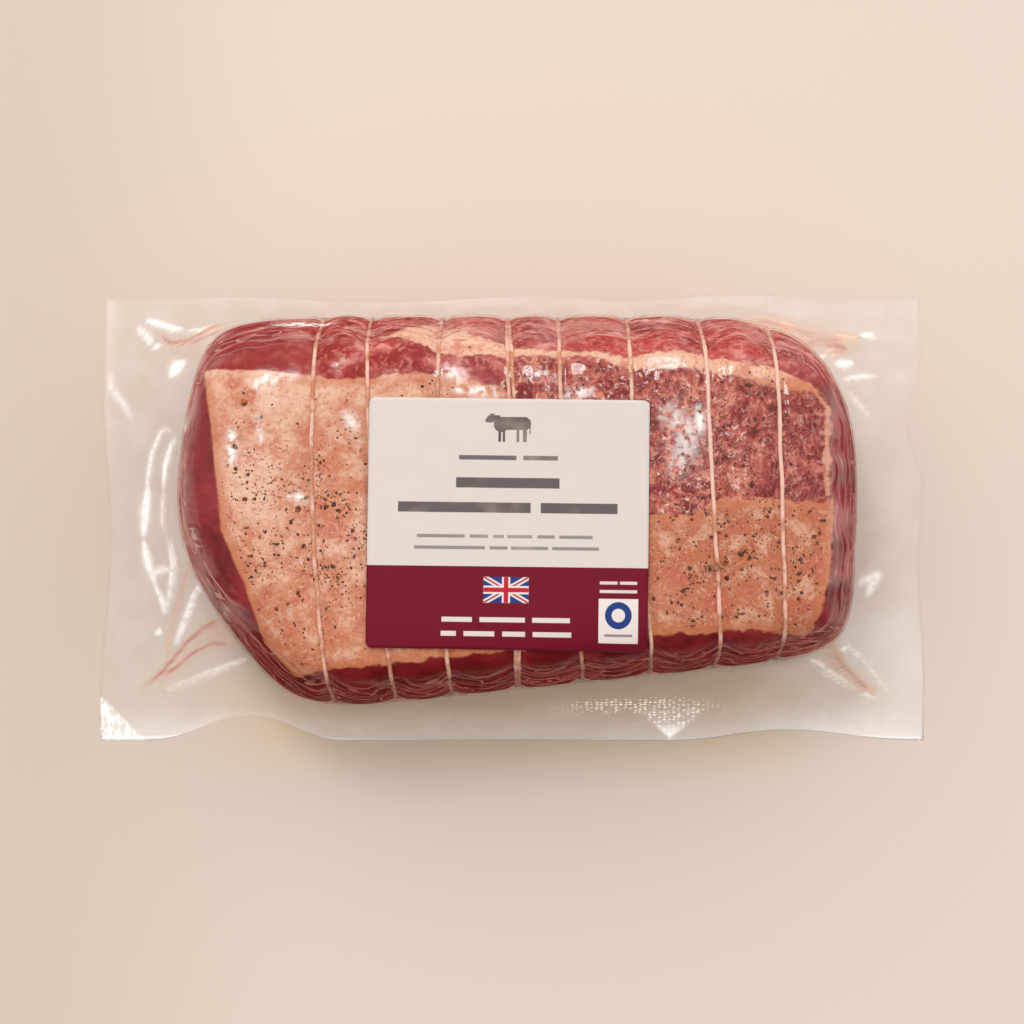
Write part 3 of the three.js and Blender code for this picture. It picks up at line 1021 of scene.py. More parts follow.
@dataclass
class Twine:
    """The loops of twine."""

    form: JointForm
    ties: Ties
    radius: float = 0.72
    uneven: float = 0.16
    strand: float = 0.07
    sink: float = 0.15
    lowest: float = 1.1
    steps: int = 380
    around: int = 12
    wander: float = 0.35
    doubled: int = 3
    doubled_apart: float = 2.1
    knotted: int = 6
    finish: TwineFinish = field(default_factory=TwineFinish)

    def route(self, at: float, apart: float = 0.0) -> tuple[Array, Array]:
        """The middle of a loop.

        Args:
            at: The tie's place along the joint.
            apart: How far it lies off the tie's own line on top.

        Returns:
            The points of the loop, and the outward direction at each.
        """
        angle = np.linspace(0, math.tau, self.steps, endpoint=False)
        direction = np.column_stack([np.zeros(self.steps), np.cos(angle), np.sin(angle)])
        _, y, z = self.form.centre
        level = self.form.reach(np.tile((at, y, z), (self.steps, 1)), direction)
        ahead = self.ties.shift(np.full(self.steps, at), level[:, 1])
        ahead = ahead + self.wander * hills(level, 12, at)
        ahead += apart * (1 - 0.7 * ((level[:, 1] - y) / self.form.half_width) ** 2)
        origin = np.column_stack([at + ahead, np.full(self.steps, y), np.full(self.steps, z)])
        points = self.form.reach(origin, direction)
        out = self.form.normal(points)
        depth = self.ties.crest - self.ties.waist - self.radius - self.sink
        points = points + out * depth
        points[:, 2] = np.maximum(self.lowest, points[:, 2])
        return points, out

    def tube(self, name: str, middle: Array, out: Array, closed: bool = True) -> Object:
        """A twisted tube along a route.

        Args:
            name: The piece's name.
            middle: The route's points.
            out: The outward direction at each point.
            closed: Whether the route joins its own start.

        Returns:
            The piece.
        """
        ahead = np.roll(middle, -1, axis=0) - np.roll(middle, 1, axis=0)
        if not closed:
            ahead[0], ahead[-1] = middle[1] - middle[0], middle[-1] - middle[-2]
        ahead /= np.linalg.norm(ahead, axis=1, keepdims=True)
        aside = np.cross(ahead, out)
        aside /= np.linalg.norm(aside, axis=1, keepdims=True)
        up = np.cross(aside, ahead)
        count = len(middle)
        columns = count if closed else count - 1
        swell = 1 + self.uneven * hills(middle, 5, 6.2)

        def shape(flat: Array) -> Array:
            """The tube's surface over the flat grid."""
            column = np.rint((flat[:, 0] + 1) / 2 * columns).astype(int)
            angle = (flat[:, 1] + 1) * math.pi
            lay = self.finish.strands * (angle + math.tau * self.finish.turns * column / self.steps)
            radius = self.radius * (1 - self.strand + self.strand * np.sin(lay))
            if not closed:
                radius = radius * np.minimum(1, np.minimum(column, columns - column) / 2 + 0.02)
            column = column % count
            offset = np.cos(angle)[:, None] * aside[column] + np.sin(angle)[:, None] * up[column]
            return middle[column] + offset * (radius * swell[column])[:, None]

        bm = grid(columns, self.around)
        move_points(bm, shape)
        bmesh.ops.remove_doubles(bm, verts=bm.verts, dist=0.01 * MM)
        bmesh.ops.recalc_face_normals(bm, faces=bm.faces)
        return new_object(name, bm)

    def knot(self) -> Object:
        """A small overhand knot with two short ends, on the seventh tie."""
        turn = np.linspace(-0.25, 1.25, 60)
        loop = turn * math.tau
        swing = np.clip(np.abs(turn - 0.5) - 0.5, 0, 1)
        tied, y = self.ties.loops[self.knotted].at, self.finish.knot_y
        x = tied + self.ties.shift(np.array([tied]), np.array([y]))[0]
        spot = self.form.over(np.array([[x, y]]))[0] + (0, 0, -1.0)
        x = 0.8 * np.cos(loop) + 5 * swing * np.sign(turn - 0.5)
        y = 1.0 * np.sin(loop) - 6 * swing
        z = 0.5 * np.sin(loop * 2) + 0.1
        middle = spot + np.column_stack([x, y, z])
        out = np.tile((0.02, 0.03, 1.0), (len(turn), 1))
        return self.tube("twine_knot", middle, out, closed=False)

    def build(self) -> list[Object]:
        """Builds every loop and the knot."""
        material = self.finish.material()
        loops = self.ties.loops
        pieces = [self.tube(f"twine_{n}", *self.route(tie.at)) for n, tie in enumerate(loops, start=1)]
        pieces.append(self.tube("twine_4_second", *self.route(loops[self.doubled].at, self.doubled_apart)))
        pieces.append(self.knot())
        for piece in pieces:
            piece.data.materials.append(material)
            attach(piece, "root")
        return pieces


@dataclass
class Pepper:
    """Cracked pepper pressed into the beef: so many chips of each size."""

    joint: Joint
    seed: int = 11
    counts: tuple[int, ...] = (1400, 760, 260, 56)
    sizes: tuple[float, ...] = (0.28, 0.44, 0.66, 1.0)
    sink: float = 0.3
    inset: float = 2.0
    tries: int = 16
    spread: tuple[Point, Point] = ((-104, 106), (-56, 60))
    stretch: Point = (0.55, 1.5)
    flatness: float = 0.65
    jag: Point = (0.75, 1.2)

    def density(self, plan: Array) -> Array:
        """How thickly the pepper lies at points seen from above, from 0 to 1."""
        x, y = plan[:, 0], plan[:, 1]
        left = bump(x + 66, 36) * bump(y + 10, 48)
        right = bump(x - 76, 44) * bump(y + 16, 38)
        cut = 0.5 * bump(x - 78, 36) * bump(y - 24, 28)
        clusters = 0.2 + np.clip(0.45 + 1.8 * hills(np.column_stack([plan, x * 0]), 9, 4.4), 0, 1)
        return np.clip((0.05 + 1.1 * np.maximum(np.maximum(left, right), cut)) * clusters, 0, 1)

    def spots(self, rng: np.random.Generator, count: int) -> Array:
        """Places on top seen from above, more of them where the pepper is thicker.

        Args:
            rng: The source of random numbers.
            count: How many there are at most.

        Returns:
            The places, as rows of x and y.
        """
        drawn = count * self.tries
        plan = np.column_stack([rng.uniform(*ends, drawn) for ends in self.spread])
        top = [inside_distance(plan, outline) for outline in (FAT_CAP, FAT_BAND, CUT_FACE)]
        kept = (np.max(top, axis=0) > self.inset) & (self.density(plan) > rng.random(len(plan)))
        return plan[kept][:count]

    def stones(self, count: int) -> BMesh:
        """That many small round stones, all in one place."""
        bm = bmesh.new()
        bmesh.ops.create_icosphere(bm, subdivisions=1, radius=1.0)
        corners = len(bm.verts)
        while len(bm.verts) < corners * count:
            bmesh.ops.duplicate(bm, geom=bm.verts[:] + bm.edges[:] + bm.faces[:])
        bm.verts.ensure_lookup_table()
        bmesh.ops.delete(bm, geom=bm.verts[corners * count:], context="VERTS")
        return bm

    def build(self) -> Object:
        """Scatters the chips as one piece."""
        rng = np.random.default_rng(self.seed)
        plans = [self.spots(rng, count) for count in self.counts]
        plan = np.concatenate(plans)
        size = np.repeat(self.sizes, [len(spots) for spots in plans])
        places = self.joint.surface(self.joint.form.over(plan))
        places[:, 2] -= self.sink * size

        def crack(points: Array) -> Array:
            """The round stones as jagged chips, each in its place."""
            chips = points.reshape(len(plan), -1, 3)
            stretch = size[:, None] * rng.uniform(*self.stretch, (len(plan), 3)) * (1, 1, self.flatness)
            chips = chips * stretch[:, None] * rng.uniform(*self.jag, chips.shape[:2])[..., None]
            x, y, z = np.moveaxis(chips, -1, 0)
            x, y = turned(x, y, rng.uniform(0, math.tau, (len(plan), 1)))
            return (np.stack([x, y, z], axis=-1) + places[:, None]).reshape(-1, 3)

        bm = self.stones(len(plan))
        move_points(bm, crack)
        piece = new_object("pepper", bm)
        piece.data.materials.append(PepperFinish().material())
        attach(piece, "root")
        return piece


# -------------------- the film


class Sheet(Enum):
    """The two sheets of the pouch."""

    UPPER = 1
    LOWER = -1


class Edge(Enum):
    """The pouch's free edges, each by the axis that it ends and its side of it."""

    RIGHT = (0, 1)
    LEFT = (0, -1)
    REAR = (1, 1)
    FRONT = (1, -1)


@dataclass(frozen=True)
class Wave:
    """A wave of a free edge."""

    edge: Edge
    at: float       # its place along the edge
    reach: float    # its half length
    inset: float    # how far it draws the edge in
    lift: float     # how far it lifts the edge


@dataclass(frozen=True)
class Fold:
    """A loose fold of the film that runs over the margin."""

    path: tuple[Point, ...]    # its middle seen from above
    width: Point               # its width at either end
    rise: float                # its height


@dataclass(frozen=True)
class Streak:
    """A sharp crease of the film, with a painted highlight along its crest."""

    width: float               # its half width
    rise: float                # its height
    white: float               # how strong the painted highlight on its crest is
    path: tuple[Point, ...]    # its line seen from above


@dataclass(frozen=True)
class Juice:
    """Meat juice caught between the sheets."""

    width: float               # its half width
    strength: float            # how strongly it colours the film
    path: tuple[Point, ...]    # its middle seen from above


WAVES = (
    Wave(Edge.RIGHT, 34, 24, 7, 5),
    Wave(Edge.RIGHT, -20, 40, 2, 1),
    Wave(Edge.REAR, -48, 60, 2.5, -1),
    Wave(Edge.REAR, 40, 30, 2, 0),
    Wave(Edge.REAR, 98, 34, 0, 5),
    Wave(Edge.LEFT, -10, 60, 4, 2),
    Wave(Edge.FRONT, -94, 34, 12, 8),
    Wave(Edge.FRONT, 101, 44, 5, 3),
)
FOLDS = (
    Fold(((-88, -40), (-105, -50), (-127, -62)), (15, 5), 5),
    Fold(((-112, 28), (-120, -12), (-115, -38)), (9, 9), 5),
    Fold(((-98, 52), (-114, 61), (-131, 68)), (15, 7), 5),
    Fold(((92, 56), (112, 60), (131, 62)), (14, 5), 6),
    Fold(((98, -36), (112, -53), (127, -64)), (13, 10), 5),
)
STREAKS = [Streak(*row) for row in (
    # the rear left tunnel
    (0.7, 1.0, 1.0, ((-130.3, 70.5), (-125.7, 68.7), (-118.4, 66), (-115, 65.6))),
    (0.6, 0.6, 0.5, ((-114.5, 64.8), (-107, 65), (-102.5, 66))),
    (0.9, 0.8, 0.7, ((-132.5, 68.6), (-131.8, 66.6), (-128.8, 63.6), (-126.8, 60.2))),
    (0.6, 0.4, 0.7, ((-126.7, 59.5), (-123.9, 61.4))),
    (2.0, 0.8, 0.9, ((-114.3, 53.9), (-117.7, 52.1), (-119.9, 48.4))),
    (1.4, 0.3, 0.3, ((-143, 53.3), (-141.9, 45.9), (-138, 40.7), (-133, 33.6))),
    # the blister on the left
    (0.7, 0.8, 0.5, ((-118, 27.5), (-120.5, 30), (-123.2, 29.4), (-126.4, 21.6), (-128.8, 4))),
    (1.5, 0.8, 0.9, ((-127.6, 10), (-128.6, 0), (-129, -8))),
    (1.0, 1.0, 1.0, ((-129.3, -8), (-127.6, -16.4), (-124.6, -25))),
    (0.7, 0.8, 0.6, ((-125.5, -22.5), (-122.1, -31.2), (-121.1, -35))),
    (0.7, 0.8, 0.75, ((-116.5, 27.3), (-119, 24.5), (-121.1, 17.8), (-121.8, 8.6))),
    (0.8, 0.6, 0.4, ((-121.8, 9), (-122, -3.3), (-119.9, -7.2))),
    (0.8, 0.8, 0.6, ((-119.9, -7.2), (-118.4, -12.7), (-117.6, -18.3), (-121, -34.7))),
    (1.6, 0.5, 0.5, ((-126.2, -20), (-122, -19), (-118.4, -19.6))),
    (1.2, 0.4, 0.6, ((-125, -41.7), (-122.4, -39.6))),
    # below it
    (0.8, 1.0, 0.8, ((-107.7, -24.3), (-110.5, -28.3), (-113.3, -35), (-117.9, -45.9))),
    (1.2, 0.6, 0.8, ((-106, -25), (-109.5, -26.5))),
    (0.65, 1.2, 1.0, ((-123.5, -61.4), (-113.3, -58.1), (-102.2, -54), (-91.2, -50))),
    # the rear right tunnel
    (1.3, 0.8, 0.7, ((92.6, 67.2), (97, 66.4), (99.3, 65.2))),
    (0.7, 0.8, 0.9, ((111.6, 63.5), (117, 62.8), (122.5, 63))),
    (0.9, 0.5, 0.6, ((122.5, 64.2), (127, 64.4), (128.6, 62.4))),
    (0.7, 0.8, 0.8, ((107, 55.4), (111, 56.8), (116, 57.4))),
    (1.3, 0.8, 0.8, ((112.6, 52.4), (120.4, 53.8))),
    (0.9, 0.6, 0.45, ((114.8, 47), (122, 48.9), (129.2, 49.6))),
    (1.5, 0.6, 0.25, ((117, 44), (120, 40), (126, 34))),
    # the right end and the front right tube
    (2.2, 0.8, 0.5, ((119.3, -24.5), (127.4, -21.3), (123.2, -29.4))),
    (0.6, 1.0, 0.85, ((101.2, -49.8), (106.6, -52.3), (112.7, -56.3), (121.4, -61.4))),
    (1.1, 0.5, 0.8, ((122.6, -62), (126.6, -64))),
    (0.9, 0.6, 0.4, ((113, -38.8), (117, -45.9), (124.8, -52.6), (131.5, -61), (127.4, -65.1))),
    (1.0, 0.5, 0.9, ((114, -46.2), (115.6, -48))),
    (0.7, 0.4, 0.7, ((119.5, -47.6), (121.6, -49.8))),
    # on the joint: painted highlights and sheen only, with no rise
    (2.2, 0, 0.7, ((-86, 38.4), (-81.5, 40.8), (-77, 40))),
    (0.8, 0, 0.6, ((-79, 41.5), (-69, 41.8))),
    (1.7, 0, 0.7, ((-93.2, 26), (-92.4, 20), (-93, 12))),
    (0.6, 0, 0.6, ((-86, 31.5), (-83.5, 26), (-82.5, 19))),
    (2.0, 0, 0.45, ((-56, 31), (-53.5, 27), (-49, 24))),
    (1.6, 0, 0.35, ((-53, 21), (-50, 16))),
    (1.0, 0, 0.55, ((-76, 2.6), (-70.5, 2), (-66.6, 0.2))),
    (1.4, 0, 0.75, ((-20, 37), (-11, 37.2), (-2, 36.2))),
    (1.4, 0, 0.7, ((16, 36.2), (28, 36.8))),
    (1.5, 0, 0.5, ((-24, 46), (-20, 42.5), (-17.5, 40.5))),
    (6.0, 0, 0.38, ((46, 28.5), (53, 29), (58, 24), (56, 14), (52, 8))),
    (1.8, 0, 0.6, ((61.5, 33), (62.6, 22))),
    (1.5, 0, 0.75, ((44, 46.6), (52, 46.8), (58.5, 45.4))),
    (0.8, 0, 0.6, ((6, 43.4), (11, 42.4), (16, 41.4))),
    (1.1, 0, 0.5, ((-60, 44.5), (-55, 47.2))),
    (0.8, 0, 0.85, ((-84, 62.4), (-70, 62.7), (-58, 62.2))),
    (1.6, 0, 0.5, ((-110.4, 30), (-109.4, 24))),
    (1.6, 0, 0.35, ((-98, -32), (-94, -37))),
)]
JUICES = [Juice(*row) for row in (
    # rear left
    (1.0, 0.75, ((-123.9, 64), (-119.9, 60.7), (-112.6, 60.7), (-109, 62.7), (-101.5, 65.8))),
    (4, 0.14, ((-121, 61), (-112, 58), (-104, 56))),
    # front left
    (4, 0.4, ((-106, -38), (-97, -44))),
    (3.5, 0.2, ((-104, -42), (-122, -55))),
    (1.0, 0.7, ((-101, -36.6), (-107, -39.2), (-113.3, -44.2), (-123.6, -55.4), (-128, -59))),
    (1.0, 0.7, ((-97, -45.6), (-104, -44.8), (-111.6, -48.4), (-121.8, -56.1))),
    (1.0, 0.4, ((-110.5, -15), (-114.4, -25.5), (-118, -35), (-120.4, -44.2), (-119.8, -49.8))),
    # rear right
    (4.5, 0.42, ((82, 66.8), (92, 66), (104, 62.5), (119, 60.5))),
    (4, 0.4, ((96, 61), (106, 59))),
    (1.0, 0.6, ((84, 68.2), (92, 67.4), (99, 64.6), (108, 63))),
    (1.0, 0.85, ((111.6, 59.3), (117.2, 58.2))),
    (1.0, 0.6, ((100, 58), (106, 60), (116, 61.2))),
    # front right
    (2.6, 0.3, ((108, -45), (114, -53))),
    (1.2, 1.0, ((112.4, -49.6), (112.9, -50.2))),
    (1.0, 0.75, ((109.3, -44.2), (112.3, -49.9), (118.1, -55.3), (122.8, -59.3), (125.5, -61))),
)]


@dataclass
class Film:
    """The clear pouch: two sheets that cling to the joint and lie together all round it."""

    form: JointForm
    ties: Ties
    half_length: float = 145
    half_width: float = 78.5
    corner_height: float = 2.6
    sag: float = 6
    sharpness: float = 0.25
    seam: float = 23
    web: float = 6.5
    web_reach: float = 0.4
    sheet_gap: float = 0.15
    fade: Point = (0.08, 0.04)
    keel: float = 0.3
    wrinkle: float = 0.4
    wrinkle_length: float = 24
    wrinkle_spacing: float = 7
    wrinkle_top: float = 72
    lowest: float = 0.1
    margin_cells: int = 46
    side_cells: int = 28
    top_cells: tuple[int, int] = (196, 70)
    corners: tuple[Point, ...] = ((-104, 50), (104, 46), (100, -44), (-88, -48))
    creases: int = 44
    crease_lengths: Point = (10, 30)
    crease_heights: Point = (0.2, 0.6)
    crease_widths: Point = (1.8, 3.2)
    highest_crease: float = 1.6
    seed: int = 5

    def free_edge(self, ring: Array) -> Array:
        """The free edge in a direction.

        Args:
            ring: Places on the rim of a square from -1 to 1 both ways.

        Returns:
            The points of the free edge.
        """
        on_end = np.abs(ring[:, 0]) >= np.abs(ring[:, 1])
        along = np.where(on_end, ring[:, 1], ring[:, 0])
        outward = np.sign(np.where(on_end, ring[:, 0], ring[:, 1]))
        place = along * np.where(on_end, self.half_width, self.half_length)
        inset = np.zeros(len(ring))
        height = self.corner_height + self.sag * (1 - along**2)
        for wave in WAVES:
            axis, side = wave.edge.value
            here = (on_end == (axis == 0)) & (outward == side)
            strength = here * bump(place - wave.at, wave.reach) * bump(along, 1) ** self.sharpness
            inset += wave.inset * strength
            height += wave.lift * strength
        out = outward * (np.where(on_end, self.half_length, self.half_width) - inset)
        return np.column_stack([np.where(on_end, out, place), np.where(on_end, place, out), height])

    def ripples(self, plan: Array) -> tuple[Array, Array]:
        """The height of the sharp creases in the margin, and the painted highlight at each place."""
        height = np.zeros(len(plan))
        white = np.zeros(len(plan))
        for streak in STREAKS:
            away, along = path_distance(plan, streak.path)
            strength = taper(along)
            height += streak.rise * strength * bump(away, 2 * streak.width)
            away = away / ((0.5 + streak.width) * (0.4 + 0.6 * strength))
            core = bump(away, 1) + 0.3 * bump(away, 2.4)
            white = np.maximum(white, np.minimum(1, 1.3 * streak.white * strength * core))
        return height, white

    def gathers(self, plan: Array) -> Array:
        """The height of the soft creases that run out from the joint's corners."""
        rng = np.random.default_rng(self.seed)
        height = np.zeros(len(plan))
        for number in range(self.creases):
            corner = np.array(self.corners[number % len(self.corners)], dtype=float)
            bearing = math.atan2(corner[1], corner[0] * 0.6) + rng.normal(0, 0.5)
            aim = np.array([math.cos(bearing), math.sin(bearing)])
            side = np.array([-aim[1], aim[0]])
            start = corner + side * rng.normal(0, 9) + aim * rng.uniform(-4, 10)
            length = rng.uniform(*self.crease_lengths)
            middle = start + aim * length / 2 + side * rng.normal(0, 1.2)
            end = start + aim * length + side * rng.normal(0, 2.5)
            away, along = path_distance(plan, [start, middle, end])
            strength = rng.uniform(*self.crease_heights) * taper(along)
            height += strength * bump(away, rng.uniform(*self.crease_widths))
        return np.minimum(height, self.highest_crease)

    def tunnels(self, plan: Array) -> Array:
        """The height of the loose folds."""
        height = np.zeros(len(plan))
        for each in FOLDS:
            away, along = path_distance(plan, each.path)
            along = np.clip(along, 0, 1)
            closing = np.sqrt(np.sin(np.pi * np.minimum(0.5, 1 - along)))
            half = np.maximum(0.01, (each.width[0] + (each.width[1] - each.width[0]) * along) / 2 * closing)
            height = np.maximum(height, each.rise * closing * np.clip(1 - (away / half) ** 2, 0, 1) ** 0.7)
        return height

    def wrinkles(self, points: Array, at: Array) -> Array:
        """How far the gathered film stands off the joint's sides.

        Args:
            points: The points of the joint's sides.
            at: Their place between the ties.

        Returns:
            The height of the wrinkles.
        """
        run = points.copy()
        run[:, :2] /= self.wrinkle_length
        run[:, 2] = (points[:, 2] + ARCH * self.ties.fullness(at)) / self.wrinkle_spacing
        crest = np.clip(1 - 3 * np.abs(hills(run, 1, 2.7)), 0, 1)
        return self.wrinkle * crest * np.clip((self.wrinkle_top - points[:, 2]) / 10, 0, 1)

    def shape(self, flat: Array, sheet: Sheet) -> Array:
        """The film over a flat grid.

        Args:
            flat: Points of the grid, from -1 to 1 both ways.
            sheet: Which sheet the grid makes.

        Returns:
            The film's points.
        """
        side_end = self.margin_cells + self.side_cells
        half_x = side_end + self.top_cells[0] / 2
        half_y = side_end + self.top_cells[1] / 2
        across, along = flat[:, 1] * half_y, flat[:, 0] * half_x
        depth = np.minimum(half_x - np.abs(along), half_y - np.abs(across))
        ring_depth = np.minimum(depth, side_end)
        ring = np.column_stack([along / (half_x - ring_depth), across / (half_y - ring_depth)])

        # the film on the joint
        climb = np.clip((depth - self.margin_cells) / self.side_cells, 0, 1)
        root = self.seam + sheet.value * (self.web + self.sheet_gap)
        end = self.form.centre[2] + (self.form.above if sheet is Sheet.UPPER else -self.form.below)
        plan = ring * (self.form.half_length, self.form.half_width)
        box = np.column_stack([plan[:, 0], plan[:, 1] + self.form.centre[1], root + (end - root) * climb])
        points = self.form.gauge(box)
        at = self.ties.station(points)
        relief = self.ties.draw(at) + self.ties.ridge(at) + self.wrinkles(points, at)
        points = points + self.form.normal(points) * relief[:, None]

        # the free margin
        out = np.clip(1 - depth / self.margin_cells, 0, 1)
        edge = self.free_edge(ring)
        inward = 1 - out
        height = edge[:, 2] + (self.seam - edge[:, 2]) * inward**2
        gap = self.sheet_gap * np.minimum(1, inward * 5)
        height += sheet.value * (gap + self.web * np.clip(1 - out / self.web_reach, 0, 1) ** 2)
        height += (points[:, 2] - root) * inward**4
        margin = np.column_stack([points[:, :2] * inward[:, None] + edge[:, :2] * out[:, None], height])
        fade = np.minimum(1, np.minimum(out / self.fade[0], inward / self.fade[1]))
        if sheet is Sheet.UPPER:
            margin[:, 2] += fade * (self.tunnels(margin) + self.gathers(margin) + self.ripples(margin)[0])
        else:
            margin[:, 2] -= fade * self.keel * self.tunnels(margin)
        points = np.where(out[:, None] > 0, margin, points)
        points[:, 2] = np.maximum(self.lowest if sheet is Sheet.LOWER else 2 * self.lowest, points[:, 2])
        points[:, 2] = np.where(depth < 1e-6, np.maximum(self.lowest, edge[:, 2]), points[:, 2])
        return points

    def mesh(self) -> Object:
        """Builds the two sheets and welds them along the free edge."""
        side_end = self.margin_cells + self.side_cells
        columns, rows = (2 * side_end + count for count in self.top_cells)
        upper = grid(columns, rows)
        for edge in upper.edges:
            edge.smooth = not edge.is_boundary
        move_points(upper, lambda flat: self.shape(flat, Sheet.UPPER))
        lower = grid(columns // 2, rows // 2)
        rim = [edge for edge in lower.edges if edge.is_boundary]
        bmesh.ops.subdivide_edges(lower, edges=rim, cuts=1)
        move_points(lower, lambda flat: self.shape(flat, Sheet.LOWER))
        bmesh.ops.reverse_faces(lower, faces=lower.faces)
        spare = bpy.data.meshes.new("lower_sheet")
        lower.to_mesh(spare)
        lower.free()
        upper.from_mesh(spare)
        bpy.data.meshes.remove(spare)
        bmesh.ops.remove_doubles(upper, verts=upper.verts, dist=0.002 * MM)
        return new_object("pouch_film", upper)

    def looseness(self, points: Array) -> Array:
        """How far out over the margin points lie, from 0 on the joint to 1 at the free edge."""
        centre = np.array(self.form.centre)
        plan = points[:, :2] - centre[:2]
        level = self.form.level(np.column_stack([points[:, :2], np.full(len(points), centre[2])]))
        ring = plan / np.array([self.half_length, self.half_width])
        ring = ring / np.abs(ring).max(axis=1, keepdims=True).clip(1e-6)
        edge = np.linalg.norm(self.free_edge(ring)[:, :2] - centre[:2], axis=1)
        gone = np.linalg.norm(plan, axis=1)
        root = gone / level.clip(1e-6)
        return np.clip((gone - root) / (edge - root), 0, 1)

    def juice(self, points: Array) -> Array:
        """How strongly juice colours the film at some points."""
        strength = np.zeros(len(points))
        for each in JUICES:
            away, along = path_distance(points, each.path)
            ends = np.clip(np.minimum(along, 1 - along) * 4 + 0.6, 0, 1)
            strength = np.maximum(strength, each.strength * bump(away, 1.6 * each.width) * ends)
        return strength

    def build(self) -> Object:
        """Builds the film, and keeps on it what its finish reads."""
        piece = self.mesh()
        points = mesh_points(piece)
        full = self.ties.fullness(self.ties.station(points))
        shine = self.ripples(points)[1]
        keep_values(piece, loose=self.looseness(points), full=full, juice=self.juice(points), shine=shine)
        piece.data.materials.append(FilmFinish().material())
        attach(piece, "root")
        piece.visible_shadow = False
        piece.visible_diffuse = False
        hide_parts("pouch")
        return piece


# -------------------- the label

LABEL_LENGTH, LABEL_WIDTH = 92.6, 82.6

# Rows of printed bars: their middle, height and depth of ink, and where each starts and ends.
DARK_ROWS = (
    (21.7, 1.5, 0.85, ((-16.4, 2.5), (4.8, 16.2))),
    (13.4, 3.4, 0.9, ((-17.3, 16.8),)),
    (5.2, 3.4, 0.9, ((-36.3, 7.4), (10.7, 36))),
    (-4.3, 1.1, 0.65, ((-30, -14.2), (-12.5, -6.5), (-4.9, -1.3), (-0.2, 8), (9.7, 15.4), (16.9, 27.9))),
    (-8.1, 1.1, 0.65, ((-30.9, -7.5), (-6, -0.1), (1, 13.3), (14.6, 30.1))),
)
WHITE_ROWS = (
    (-31.7, 1.6, 0.9, ((-21.5, -11.5), (-9, 5.9), (8.3, 20.7))),
    (-36.3, 1.6, 0.9, ((-21.7, -16.7), (-14.2, -4.1), (-1.5, 6), (8.5, 21.2))),
    (-19.2, 1, 0.85, ((30.4, 36.2), (37, 42.7))),
    (-22, 1, 0.85, ((30.4, 42.7),)),
)
BOXED_ROW = (-36.2, 0.8, 0.7, ((32, 41.2),))
LEGS = ((-3.1, 0.9), (-1.7, 0.8), (2.9, 0.9), (5.2, 1.3))


@dataclass(frozen=True)
class Print:
    """Plain printed shapes, each 1 inside and 0 outside, for a place on the label."""

    x: Value
    y: Value
    soft: float = 0.12

    def within(self, offset: Value, half: float) -> Value:
        """1 where an offset is less than a half length, with a soft end."""
        return (abs(offset) - half).rise(self.soft, -self.soft)

    def box(self, x: float, y: float, length: float, height: float) -> Value:
        """A box, by its middle and its size."""
        return self.within(self.x - x, length / 2) * self.within(self.y - y, height / 2)

    def disc(self, x: float, y: float, radius: float) -> Value:
        """A disc, by its middle and its radius."""
        away = ((self.x - x) ** 2 + (self.y - y) ** 2) ** 0.5
        return away.rise(radius + self.soft, radius - self.soft)

    def row(self, y: float, height: float, depth: float, words: Sequence[Point]) -> Value:
        """A row of bars, by its middle, height and depth of ink, and where each starts and ends."""
        bars = [self.within(self.x - (start + end) / 2, (end - start) / 2) for start, end in words]
        return reduce(Value.most, bars) * self.within(self.y - y, height / 2) * depth

    def cattle(self) -> Value:
        """A small standing ox: its body, rump, shoulder, neck, head, muzzle, horn, tail and legs."""
        shapes = [
            self.box(1.2, 33.1, 9.4, 4.3),
            self.disc(-2.6, 32.7, 2.5),
            self.disc(5.0, 33.0, 2.2),
            self.box(-4.6, 34.6, 3.2, 2.3),
            self.disc(-6.2, 34.5, 1.25),
            self.disc(-7.2, 34.0, 0.7),
            self.box(-5.6, 36.0, 1.5, 0.5),
            self.box(6.9, 31.9, 0.4, 4.6),
        ]
        shapes += [self.box(leg, 29.0, wide, 4.1) for leg, wide in LEGS]
        return reduce(Value.most, shapes)


